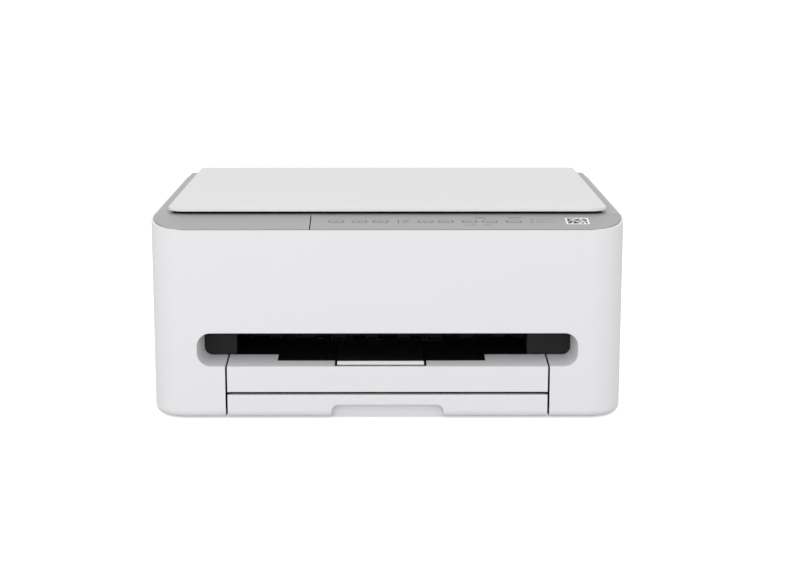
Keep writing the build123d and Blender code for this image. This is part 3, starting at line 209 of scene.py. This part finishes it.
def rolled_steel(name, colour, roughness):
    """Bare sheet steel with fine lines along X."""
    mat = shade(name, colour, roughness, metallic=1.0, variation=0.06)
    nodes, links = mat.node_tree.nodes, mat.node_tree.links
    coords = nodes["Texture Coordinate"]
    stretch = nodes.new("ShaderNodeMapping")
    stretch.inputs["Scale"].default_value = (0.02, 1.0, 1.0)
    links.new(coords.outputs["Object"], stretch.inputs["Vector"])
    fine = nodes["Noise Texture.001"]
    links.new(stretch.outputs["Vector"], fine.inputs["Vector"])
    return mat


def circuit_board(name):
    """Green lacquer with a grid of pale tracks."""
    mat = shade(name, (0.02, 0.13, 0.06), 0.35, variation=0.1)
    nodes, links = mat.node_tree.nodes, mat.node_tree.links
    tracks = nodes.new("ShaderNodeTexBrick")
    tracks.inputs["Scale"].default_value = 90.0
    tracks.inputs["Color1"].default_value = (0.02, 0.13, 0.06, 1)
    tracks.inputs["Color2"].default_value = (0.015, 0.10, 0.05, 1)
    tracks.inputs["Mortar"].default_value = (0.10, 0.30, 0.16, 1)
    tracks.inputs["Mortar Size"].default_value = 0.03
    links.new(nodes["Texture Coordinate"].outputs["Object"], tracks.inputs["Vector"])
    links.new(tracks.outputs["Color"], nodes["Principled BSDF"].inputs["Base Color"])
    return mat


def clear_glass(name):
    """Flat glass with a faint green tint."""
    mat = shade(name, (0.86, 0.94, 0.91), 0.03, depth=0.000001, variation=0.01)
    body = mat.node_tree.nodes["Principled BSDF"]
    body.inputs["Transmission Weight"].default_value = 0.9
    body.inputs["IOR"].default_value = 1.5
    return mat


def split_finish(mat, back_colour, edge_y):
    """Adds a second colour to a material, behind a line across the piece."""
    nodes, links = mat.node_tree.nodes, mat.node_tree.links
    part = nodes.new("ShaderNodeSeparateXYZ")
    test = nodes.new("ShaderNodeMath")
    test.operation = "GREATER_THAN"
    test.inputs[1].default_value = edge_y
    join = nodes.new("ShaderNodeMix")
    join.data_type = "RGBA"
    join.inputs["B"].default_value = back_colour
    links.new(nodes["Texture Coordinate"].outputs["Object"], part.inputs["Vector"])
    links.new(part.outputs["Y"], test.inputs[0])
    links.new(test.outputs["Value"], join.inputs["Factor"])
    base = nodes["Principled BSDF"].inputs["Base Color"]
    links.new(base.links[0].from_socket, join.inputs["A"])
    links.new(join.outputs["Result"], base)
    return mat


def finish_nodes(names, material):
    """Gives CAD nodes their finish."""
    for name in names:
        slots = frame["nodes"][name].data.materials
        slots.clear()
        slots.append(material)


def mesh_object(name, bm, material):
    """Turns a finished bmesh into an object at the origin."""
    bmesh.ops.recalc_face_normals(bm, faces=bm.faces)
    data = bpy.data.meshes.new(name)
    bm.to_mesh(data)
    bm.free()
    data.materials.append(material)
    return link(bpy.data.objects.new(name, data))


def add_block(bm, low, high, place=None):
    """A block between two corners, in a local frame if one is given."""
    middle = (Vector(low) + Vector(high)) / 2
    size = Vector(high) - Vector(low)
    matrix = Matrix.Translation(middle) @ Matrix.Diagonal((*size, 1))
    if place is not None:
        matrix = place @ matrix
    bmesh.ops.create_cube(bm, size=1.0, matrix=matrix)


def add_arc(bm, place, middle, radius, thickness, height, start, end, steps=12):
    """A flat curved line in a local frame, round a middle, from one angle to another."""
    ends = []
    inner = radius - thickness
    for step in range(steps + 1):
        angle = math.radians(start + (end - start) * step / steps)
        section = []
        for reach, z in ((radius, 0.0), (radius, height), (inner, height), (inner, 0.0)):
            x, y = middle + reach * math.cos(angle), reach * math.sin(angle)
            section.append(bm.verts.new(place @ Vector((x, y, z))))
        ends.append(section)
    for one, other in zip(ends, ends[1:]):
        for i in range(4):
            j = (i + 1) % 4
            bm.faces.new((one[i], one[j], other[j], other[i]))
    bm.faces.new(ends[0])
    bm.faces.new(list(reversed(ends[-1])))


def add_oval(bm, place, length, width, thickness, height):
    """A line drawn round a key: two bold ends joined by thin sides."""
    half = (length - width) / 2
    for side in (-1, 1):
        turn = 90 if side < 0 else -90
        start, end = turn + OUTLINE_BREAK, turn + 180 - OUTLINE_BREAK
        add_arc(bm, place, side * half, width / 2, thickness, height, start, end)
        y = side * (width / 2 - thickness / 4)
        add_block(bm, (-half, y - thickness / 6, 0), (half, y + thickness / 6, height), place)


def add_dashes(bm, place, x0, y, widths, depth, gap, height):
    """A broken line: short dashes one after another."""
    x = x0
    low, high = (y - depth / 2) * MM, (y + depth / 2) * MM
    for width in widths:
        add_block(bm, (x * MM, low, 0), ((x + width) * MM, high, height), place)
        x += width + gap


def strip_normal():
    """Outward normal of the sloped strip, from the way that its keys travel."""
    axis = next(joint["axis"] for joint in frame["joints"] if joint["name"] == "key_1_press")
    return -Vector(axis).normalized()


def strip_place(node, x, along):
    """Local frame on a node's outer face: X to the right, Y up the slope, Z outwards."""
    normal = strip_normal()
    up = normal.cross(Vector((1, 0, 0)))
    level = max(v.co.dot(normal) for v in frame["nodes"][node].data.vertices)
    origin = Vector((x, 0, 0)) + up * along + normal * level
    return Matrix.Translation(origin) @ Matrix((Vector((1, 0, 0)), up, normal)).transposed().to_4x4()


def strip_centre(node):
    """Where a node's middle lies on the strip: across, and up the slope."""
    up = strip_normal().cross(Vector((1, 0, 0)))
    vertices = frame["nodes"][node].data.vertices
    across = [v.co.x for v in vertices]
    top = max(v.co.dot(strip_normal()) for v in vertices)
    along = [v.co.dot(up) for v in vertices if v.co.dot(strip_normal()) > top - 0.0001]
    return (min(across) + max(across)) / 2, (min(along) + max(along)) / 2


def row_tree(name, unit_maker, inputs, material):
    """Geometry Nodes tree: copies of one unit along a line, joined and given a material."""
    tree = bpy.data.node_groups.new(name, "GeometryNodeTree")
    tree.interface.new_socket("Count", in_out="INPUT", socket_type="NodeSocketInt")
    tree.interface.new_socket("Start", in_out="INPUT", socket_type="NodeSocketVector")
    tree.interface.new_socket("Pitch", in_out="INPUT", socket_type="NodeSocketVector")
    for label, kind in inputs:
        tree.interface.new_socket(label, in_out="INPUT", socket_type=kind)
    tree.interface.new_socket("Geometry", in_out="OUTPUT", socket_type="NodeSocketGeometry")
    nodes, links = tree.nodes, tree.links
    given = nodes.new("NodeGroupInput")
    line = nodes.new("GeometryNodeMeshLine")
    line.mode = "OFFSET"
    links.new(given.outputs["Count"], line.inputs["Count"])
    links.new(given.outputs["Start"], line.inputs["Start Location"])
    links.new(given.outputs["Pitch"], line.inputs["Offset"])
    place = nodes.new("GeometryNodeInstanceOnPoints")
    links.new(line.outputs["Mesh"], place.inputs["Points"])
    links.new(unit_maker(nodes, links, given), place.inputs["Instance"])
    real = nodes.new("GeometryNodeRealizeInstances")
    paint = nodes.new("GeometryNodeSetMaterial")
    paint.inputs["Material"].default_value = material
    result = nodes.new("NodeGroupOutput")
    links.new(place.outputs["Instances"], real.inputs["Geometry"])
    links.new(real.outputs["Geometry"], paint.inputs["Geometry"])
    links.new(paint.outputs["Geometry"], result.inputs["Geometry"])
    return tree


def run_tree(name, tree, values, material):
    """Runs a tree once and keeps its result as a plain mesh."""
    carrier = link(bpy.data.objects.new(name + "_carrier", bpy.data.meshes.new(name + "_carrier")))
    modifier = carrier.modifiers.new("Row", "NODES")
    modifier.node_group = tree
    for item in tree.interface.items_tree:
        if item.item_type == "SOCKET" and item.in_out == "INPUT" and item.name in values:
            modifier[item.identifier] = values[item.name]
    graph = bpy.context.evaluated_depsgraph_get()
    data = bpy.data.meshes.new_from_object(carrier.evaluated_get(graph))
    bpy.data.objects.remove(carrier)
    data.name = name
    if not data.materials:
        data.materials.append(material)
    if not data.polygons:
        raise RuntimeError(f"{name} came out empty")
    return link(bpy.data.objects.new(name, data))


def block_unit(nodes, links, given):
    """One rib: a small block of the given size."""
    cube = nodes.new("GeometryNodeMeshCube")
    links.new(given.outputs["Size"], cube.inputs["Size"])
    return cube.outputs["Mesh"]


def star_unit(nodes, links, given):
    """One thin spiked wheel that stands across X."""
    star = nodes.new("GeometryNodeCurveStar")
    links.new(given.outputs["Points"], star.inputs["Points"])
    links.new(given.outputs["Inner"], star.inputs["Inner Radius"])
    links.new(given.outputs["Outer"], star.inputs["Outer Radius"])
    fill = nodes.new("GeometryNodeFillCurve")
    thick = nodes.new("GeometryNodeExtrudeMesh")
    flip = nodes.new("GeometryNodeFlipFaces")
    both = nodes.new("GeometryNodeJoinGeometry")
    weld = nodes.new("GeometryNodeMergeByDistance")
    weld.inputs["Distance"].default_value = 0.000001
    turn = nodes.new("GeometryNodeTransform")
    turn.inputs["Rotation"].default_value = (0, math.pi / 2, 0)
    links.new(star.outputs["Curve"], fill.inputs["Curve"])
    links.new(fill.outputs["Mesh"], thick.inputs["Mesh"])
    links.new(given.outputs["Thickness"], thick.inputs["Offset Scale"])
    thick.inputs["Individual"].default_value = False
    links.new(fill.outputs["Mesh"], flip.inputs["Mesh"])
    links.new(thick.outputs["Mesh"], both.inputs["Geometry"])
    links.new(flip.outputs["Mesh"], both.inputs["Geometry"])
    links.new(both.outputs["Geometry"], weld.inputs["Geometry"])
    links.new(weld.outputs["Geometry"], turn.inputs["Geometry"])
    return turn.outputs["Geometry"]


def screw_unit(nodes, links, given):
    """One low screw head that faces the back."""
    head = nodes.new("GeometryNodeMeshCylinder")
    head.inputs["Vertices"].default_value = 24
    links.new(given.outputs["Radius"], head.inputs["Radius"])
    links.new(given.outputs["Depth"], head.inputs["Depth"])
    turn = nodes.new("GeometryNodeTransform")
    turn.inputs["Rotation"].default_value = (math.pi / 2, 0, 0)
    links.new(head.outputs["Mesh"], turn.inputs["Geometry"])
    return turn.outputs["Geometry"]


class PRINTER_OT_casings(bpy.types.Operator):
    """Finish the shell, frame, lid, tray and cassette"""
    bl_idname = "printer.casings"
    bl_label = "Casings"

    def execute(self, context):
        white = shade("White casing", colours().shell, 0.5, depth=0.00001, variation=0.006)
        finish_nodes(("outer_shell", "output_tray", "cassette", "rear_cover"), white)
        lid = shade("Lid casing", colours().lid, 0.45, depth=0.00001, variation=0.006)
        finish_nodes(("document_lid",), lid)
        grey = shade("Grey casing", colours().frame, 0.42, depth=0.00001, variation=0.01)
        keys = [name for name in frame["nodes"] if name.startswith("panel_key")]
        finish_nodes(["scanner_frame", "control_panel"] + keys, grey)
        # The extension's lip is a whiter copy of the white plastic as a painted highlight, and the extension
        # behind the lip is painted black as painted shade in the gaps round it
        edge_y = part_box("output_extension")[0].y + LIP_DEPTH
        lip_painted_light = split_finish(shade("Extension painted highlight and shade", (0.96, 0.96, 0.96), 0.5), colours().dark, edge_y)
        finish_nodes(("output_extension",), lip_painted_light)
        pad = shade("Lid pad", (0.80, 0.80, 0.79), 0.7, grain=300, depth=0.00005)
        finish_nodes(("pressure_pad",), pad)
        return {"FINISHED"}


class PRINTER_OT_mechanism(bpy.types.Operator):
    """Finish the pieces inside"""
    bl_idname = "printer.mechanism"
    bl_label = "Mechanism"

    def execute(self, context):
        black = shade("Black plastic", colours().dark, 0.7, specular=0.2)
        # The platen bezel's black is partly its own black plastic and partly painted shade for the deep
        # narrow gap under the lid
        finish_nodes(("tray_inner", "platen_bezel", "base_tray", "star_wheel_holder", "platen"), black)
        liner = shade("Throat lining", [4.0 * c for c in colours().dark[:3]], 0.6, specular=0.3)
        finish_nodes(("throat_liner",), liner)
        inner = shade("Dark grey plastic", colours().inner, 0.5)
        finish_nodes(("scanner_tub", "pinch_holder", "outer_turn_guide", "inner_turn_guide",
                      "maintenance_unit", "carriage", "pickup_arm", "hinge_brackets", "hinge_posts",
                      "inlet_socket", "sensor_bar", "power_supply", "ink_cartridges", "drive_pulley",
                      "idler_pulley"), inner)
        pale = shade("Pale grey plastic", (0.35, 0.36, 0.37), 0.45)
        finish_nodes(("paper_guide_left", "paper_guide_right", "paper_guide_rear", "guide_pinion"), pale)
        steel = rolled_steel("Sheet steel", (0.55, 0.56, 0.58), 0.35)
        finish_nodes(("main_frame", "steel_shafts", "drive_motors", "base_screws", "scan_motor",
                      "star_wheels"), steel)
        rubber = shade("Rubber", (0.02, 0.02, 0.021), 0.8, grain=2500, depth=0.00006, variation=0.15)
        finish_nodes(("rubber_feet", "drive_belts", "feed_roller", "eject_roller", "pinch_rollers",
                      "pickup_roller", "lid_bumpers"), rubber)
        film = shade("Encoder film", (0.45, 0.46, 0.48), 0.2)
        finish_nodes(("encoder_strip",), film)
        felt = shade("Felt", (0.70, 0.70, 0.67), 0.95, grain=1800, depth=0.0003, variation=0.12)
        finish_nodes(("ink_absorber",), felt)
        finish_nodes(("panel_board",), circuit_board("Panel circuit board"))
        edge_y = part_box("main_board")[1].y - PORT_DEPTH
        board = split_finish(circuit_board("Main circuit board"), colours().inner, edge_y)
        finish_nodes(("main_board",), board)
        finish_nodes(("platen_glass",), clear_glass("Platen glass"))
        return {"FINISHED"}


class PRINTER_OT_key_marks(bpy.types.Operator):
    """Print an outline and a plain sign on each key"""
    bl_idname = "printer.key_marks"
    bl_label = "Key marks"

    def execute(self, context):
        ink = shade("Mark ink", colours().print_ink, 0.6)
        height = sizes().mark_height
        for number in range(1, KEY_COUNT + 1):
            node = f"panel_key_{number}"
            x, along = strip_centre(node)
            place = strip_place(node, x, along)
            bm = bmesh.new()
            add_oval(bm, place, OUTLINE_LENGTH, OUTLINE_WIDTH, OUTLINE_LINE, height)
            self.sign(bm, place, number, height)
            piece = mesh_object(f"key_mark_{number}", bm, ink)
            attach(piece, f"key_{number}")
        return {"FINISHED"}

    def sign(self, bm, place, number, height):
        """A plain sign of short dashes, in another rhythm on each key."""
        chance = random.Random(number)
        widths = [chance.uniform(0.6, 1.5) for _ in range(SIGN_DASHES)]
        total = sum(widths) + SIGN_GAP * (SIGN_DASHES - 1)
        add_dashes(bm, place, -total / 2, 0.2, widths, SIGN_DEPTH, SIGN_GAP, height)


class PRINTER_OT_strip_marks(bpy.types.Operator):
    """Print plain bars and lamp signs on the strip, and lay the patterned label"""
    bl_idname = "printer.strip_marks"
    bl_label = "Strip marks"

    def execute(self, context):
        ink = shade("Strip ink", colours().print_ink, 0.6)
        height = sizes().mark_height
        along = strip_centre("panel_key_1")[1]
        place = strip_place("control_panel", 0.0, along)
        bm = bmesh.new()
        for x0, width in ((77.0, 10.1), (107.7, 10.3)):
            add_dashes(bm, place, x0, ROW_OFFSET, (width,), 1.3, 0, height)
        for x0, widths in ((67.4, (1.4, 2.2, 1.2, 1.6, 1.4)), (85.0, (1.2, 1.6, 1.1, 1.4))):
            add_dashes(bm, place, x0, -ROW_OFFSET, widths, 1.1, 0.6, height)
        for row, widths in enumerate(((0.8, 4.6), (0.8, 3.8), (0.8, 2.2))):
            y = LAMP_SIGN_PITCH - LAMP_SIGN_PITCH * row
            add_dashes(bm, place, LAMP_SIGN_X, y, widths, 0.9, 0.7, height)
        for row in range(3):
            y = LIST_TOP - LIST_PITCH * row
            add_dashes(bm, place, LIST_X, y, (2.4,), 0.9, 0, height)
            add_dashes(bm, place, LIST_X + 6.0, y, (1.6,), 0.8, 0, height)
            add_dashes(bm, place, LIST_X + 8.6, y, (2.6, 3.2, 2.2, 1.6 + row), 0.3, 0.6, height)
        piece = mesh_object("strip_marks", bm, ink)
        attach(piece, "scanner_unit")
        self.label(place)
        return {"FINISHED"}

    def label(self, place):
        """A pale label with a chance pattern of dark squares."""
        low, high = LABEL_LOW, LABEL_HIGH
        bm = bmesh.new()
        add_block(bm, (low.x * MM, low.y * MM, 0), (high.x * MM, high.y * MM, 0.06 * MM), place)
        paper = mesh_object("pattern_label", bm, shade("Label paper", (0.92, 0.92, 0.92), 0.5))
        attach(paper, "scanner_unit")
        chance = random.Random(7)
        columns, rows = LABEL_CELLS
        step_x = (high.x - low.x - 2 * LABEL_MARGIN) / columns
        step_y = (high.y - low.y - 2 * LABEL_MARGIN) / rows
        bm = bmesh.new()
        for i in range(columns):
            for j in range(rows):
                if chance.random() < LABEL_DARK_SHARE:
                    x, y = low.x + LABEL_MARGIN + i * step_x, low.y + LABEL_MARGIN + j * step_y
                    far_x, far_y = x + step_x * CELL_FILL, y + step_y * CELL_FILL
                    add_block(bm, (x * MM, y * MM, 0.05 * MM), (far_x * MM, far_y * MM, 0.08 * MM), place)
        squares = mesh_object("label_squares", bm, shade("Label ink", (0.02, 0.02, 0.02), 0.5))
        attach(squares, "scanner_unit")


class PRINTER_OT_status_lights(bpy.types.Operator):
    """Cap the status lights"""
    bl_idname = "printer.status_lights"
    bl_label = "Status lights"

    def execute(self, context):
        clear = shade("Light cap", (0.07, 0.075, 0.07), 0.25, variation=0.02)
        along = strip_centre("panel_key_1")[1]
        bm = bmesh.new()
        for step in (-1, 0, 1):
            place = strip_place("control_panel", LAMP_X * MM, along + step * sizes().lamp_pitch)
            matrix = place @ Matrix.Translation((0, 0, -0.05 * MM)) @ Matrix.Diagonal((1, 1, 0.4, 1))
            bmesh.ops.create_uvsphere(bm, u_segments=16, v_segments=8, radius=0.68 * MM, matrix=matrix)
        piece = mesh_object("status_light_caps", bm, clear)
        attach(piece, "scanner_unit")
        return {"FINISHED"}


class PRINTER_OT_star_wheels(bpy.types.Operator):
    """Spiked wheels over the eject rollers"""
    bl_idname = "printer.star_wheels"
    bl_label = "Star wheels"

    def execute(self, context):
        low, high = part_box("star_wheels")
        middle = (low + high) / 2
        steel = rolled_steel("Star wheel steel", (0.6, 0.6, 0.62), 0.3)
        kinds = [("Points", "NodeSocketInt"), ("Inner", "NodeSocketFloat"), ("Outer", "NodeSocketFloat"),
                 ("Thickness", "NodeSocketFloat")]
        tree = row_tree("Star wheel row", star_unit, kinds, steel)
        outer = (high.z - low.z) / 2
        start = -(STAR_COUNT - 1) / 2 * STAR_PITCH
        values = {"Count": STAR_COUNT, "Start": (start, middle.y, middle.z), "Pitch": (STAR_PITCH, 0, 0),
                  "Points": sizes().star_points, "Inner": outer * 0.72, "Outer": outer * 0.98,
                  "Thickness": STAR_THICKNESS}
        piece = run_tree("star_wheel_teeth", tree, values, steel)
        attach(piece, "star_wheels")
        return {"FINISHED"}


class PRINTER_OT_cassette_ribs(bpy.types.Operator):
    """Low ribs on the cassette's floor"""
    bl_idname = "printer.cassette_ribs"
    bl_label = "Cassette ribs"

    def execute(self, context):
        middle_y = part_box("cassette")[0].y + RIB_MIDDLE
        start = -(RIB_COUNT - 1) / 2 * sizes().rib_pitch
        pale = shade("Rib plastic", colours().shell, 0.5, variation=0.01)
        tree = row_tree("Floor rib row", block_unit, [("Size", "NodeSocketVector")], pale)
        values = {"Count": RIB_COUNT, "Start": (start, middle_y, CASSETTE_FLOOR + 0.2 * MM),
                  "Pitch": (sizes().rib_pitch, 0, 0), "Size": RIB_SIZE}
        piece = run_tree("cassette_floor_ribs", tree, values, pale)
        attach(piece, "cassette")
        return {"FINISHED"}


class PRINTER_OT_back_details(bpy.types.Operator):
    """Screw heads at the back"""
    bl_idname = "printer.back_details"
    bl_label = "Back details"

    def execute(self, context):
        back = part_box("outer_shell")[1].y
        steel = rolled_steel("Screw steel", (0.35, 0.35, 0.36), 0.35)
        kinds = [("Radius", "NodeSocketFloat"), ("Depth", "NodeSocketFloat")]
        tree = row_tree("Back screw row", screw_unit, kinds, steel)
        values = {"Count": 2, "Start": (-SCREW_SPREAD / 2, back - 0.45 * MM, SCREW_HEIGHT),
                  "Pitch": (SCREW_SPREAD, 0, 0), "Radius": SCREW_RADIUS, "Depth": SCREW_DEPTH}
        piece = run_tree("back_screws", tree, values, steel)
        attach(piece, "root")
        return {"FINISHED"}


class PRINTER_OT_cartridge_labels(bpy.types.Operator):
    """Plain colour labels on the two ink cartridges"""
    bl_idname = "printer.cartridge_labels"
    bl_label = "Cartridge labels"

    def execute(self, context):
        low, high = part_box("ink_cartridges")
        y0, y1, top = low.y + 8 * MM, high.y - 10 * MM, high.z
        bands = ((low.x + 4 * MM, low.x + 20 * MM, (0.02, 0.02, 0.02)),
                 (high.x - 28 * MM, high.x - 20 * MM, (0.0, 0.35, 0.6)),
                 (high.x - 20 * MM, high.x - 12 * MM, (0.6, 0.02, 0.25)),
                 (high.x - 12 * MM, high.x - 4 * MM, (0.8, 0.65, 0.02)))
        for number, (x0, x1, colour) in enumerate(bands, start=1):
            bm = bmesh.new()
            add_block(bm, (x0, y0, top - 0.05 * MM), (x1, y1, top + 0.1 * MM))
            piece = mesh_object(f"cartridge_label_{number}", bm, shade(f"Ink label {number}", colour, 0.4))
            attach(piece, "carriage")
        return {"FINISHED"}


class PRINTER_OT_stage(bpy.types.Operator):
    """Set the floor, the lights and the camera"""
    bl_idname = "printer.stage"
    bl_label = "Stage"

    def execute(self, context):
        self.floor()
        self.world()
        self.lamps()
        self.camera()
        context.scene.view_settings.view_transform = "Standard"
        return {"FINISHED"}

    def floor(self):
        """A pale floor that looks white and keeps the shadow."""
        bm = bmesh.new()
        bmesh.ops.create_grid(bm, x_segments=2, y_segments=2, size=FLOOR_SIZE)
        mat = bpy.data.materials.new("Floor")
        mat.use_nodes = True
        nodes, links = mat.node_tree.nodes, mat.node_tree.links
        body = nodes["Principled BSDF"]
        body.inputs["Base Color"].default_value = (0.72, 0.72, 0.72, 1)
        body.inputs["Roughness"].default_value = 1.0
        body.inputs["Specular IOR Level"].default_value = 0.0
        path = nodes.new("ShaderNodeLightPath")
        glow = nodes.new("ShaderNodeMath")
        glow.operation = "MULTIPLY"
        glow.inputs[1].default_value = FLOOR_GLOW
        links.new(path.outputs["Is Camera Ray"], glow.inputs[0])
        body.inputs["Emission Color"].default_value = (1, 1, 1, 1)
        links.new(glow.outputs["Value"], body.inputs["Emission Strength"])
        data = bpy.data.meshes.new("floor")
        bm.to_mesh(data)
        bm.free()
        data.materials.append(mat)
        link(bpy.data.objects.new("floor", data))

    def world(self):
        """White to the camera and in reflections, a plain level of light for the rest."""
        world = bpy.data.worlds.new("Studio")
        bpy.context.scene.world = world
        world.use_nodes = True
        nodes, links = world.node_tree.nodes, world.node_tree.links
        back = nodes["Background"]
        back.inputs["Color"].default_value = (1, 1, 1, 1)
        path = nodes.new("ShaderNodeLightPath")
        seen = nodes.new("ShaderNodeMath")
        seen.operation = "MAXIMUM"
        clear = nodes.new("ShaderNodeMath")
        clear.operation = "MAXIMUM"
        level = nodes.new("ShaderNodeMapRange")
        level.inputs["To Min"].default_value = ROOM_LEVEL
        level.inputs["To Max"].default_value = 1.0
        links.new(path.outputs["Is Camera Ray"], seen.inputs[0])
        links.new(path.outputs["Is Glossy Ray"], seen.inputs[1])
        links.new(seen.outputs["Value"], clear.inputs[0])
        links.new(path.outputs["Is Transmission Ray"], clear.inputs[1])
        links.new(clear.outputs["Value"], level.inputs["Value"])
        links.new(level.outputs["Result"], back.inputs["Strength"])

    def lamps(self):
        """Large soft lamps: one before the front, a weak one at the left."""
        rows = (("key_lamp", (-0.3, -2.2, 0.7), (74, 0, -8), 2.4, 19.0),
                ("left_lamp", (-1.9, -0.8, 0.9), (68, 0, -65), 1.6, 1.5))
        for name, place, turn, size, power in rows:
            lamp = bpy.data.lights.new(name, "AREA")
            lamp.shape = "SQUARE"
            lamp.size = size
            lamp.energy = power
            obj = link(bpy.data.objects.new(name, lamp))
            obj.location = place
            obj.rotation_euler = [math.radians(angle) for angle in turn]
            obj.visible_camera = False

    def camera(self):
        """The photograph's view: a little above the machine, straight from the front."""
        data = bpy.data.cameras.new("camera")
        data.sensor_width = SENSOR_WIDTH
        data.lens = FOCAL_PIXELS / IMAGE_WIDTH * SENSOR_WIDTH
        obj = link(bpy.data.objects.new("camera", data))
        front = CAD_BOX[0][1]
        obj.location = (CAMERA_X, front - sizes().camera_distance, sizes().camera_height)
        obj.rotation_euler = (math.pi / 2 - CAMERA_PITCH, 0, CAMERA_YAW)
        bpy.context.scene.camera = obj


class PRINTER_PT_panel(bpy.types.Panel):
    """Lists the printer's sizes, colours and steps"""
    bl_idname = "PRINTER_PT_panel"
    bl_label = "Printer"
    bl_space_type = "VIEW_3D"
    bl_region_type = "UI"
    bl_category = "Printer"

    def draw(self, context):
        for group in (context.scene.printer_sizes, context.scene.printer_colours):
            for name in group.bl_rna.properties.keys():
                if name not in ("rna_type", "name"):
                    self.layout.prop(group, name)
        for step in STEPS:
            self.layout.operator(step.bl_idname)


STEPS = (PRINTER_OT_casings, PRINTER_OT_mechanism, PRINTER_OT_key_marks, PRINTER_OT_strip_marks,
         PRINTER_OT_status_lights, PRINTER_OT_star_wheels, PRINTER_OT_cassette_ribs, PRINTER_OT_back_details,
         PRINTER_OT_cartridge_labels, PRINTER_OT_stage)
CLASSES = (PrinterColours, PrinterSizes, *STEPS, PRINTER_PT_panel)


def register():
    for cls in CLASSES:
        bpy.utils.register_class(cls)
    bpy.types.Scene.printer_colours = bpy.props.PointerProperty(type=PrinterColours)
    bpy.types.Scene.printer_sizes = bpy.props.PointerProperty(type=PrinterSizes)


def unregister():
    del bpy.types.Scene.printer_sizes
    del bpy.types.Scene.printer_colours
    for cls in reversed(CLASSES):
        bpy.utils.unregister_class(cls)


def main():
    register()
    bpy.ops.printer.casings()
    bpy.ops.printer.mechanism()
    bpy.ops.printer.key_marks()
    bpy.ops.printer.strip_marks()
    bpy.ops.printer.status_lights()
    bpy.ops.printer.star_wheels()
    bpy.ops.printer.cassette_ribs()
    bpy.ops.printer.back_details()
    bpy.ops.printer.cartridge_labels()
    bpy.ops.printer.stage()


if __name__ == "__main__":
    main()
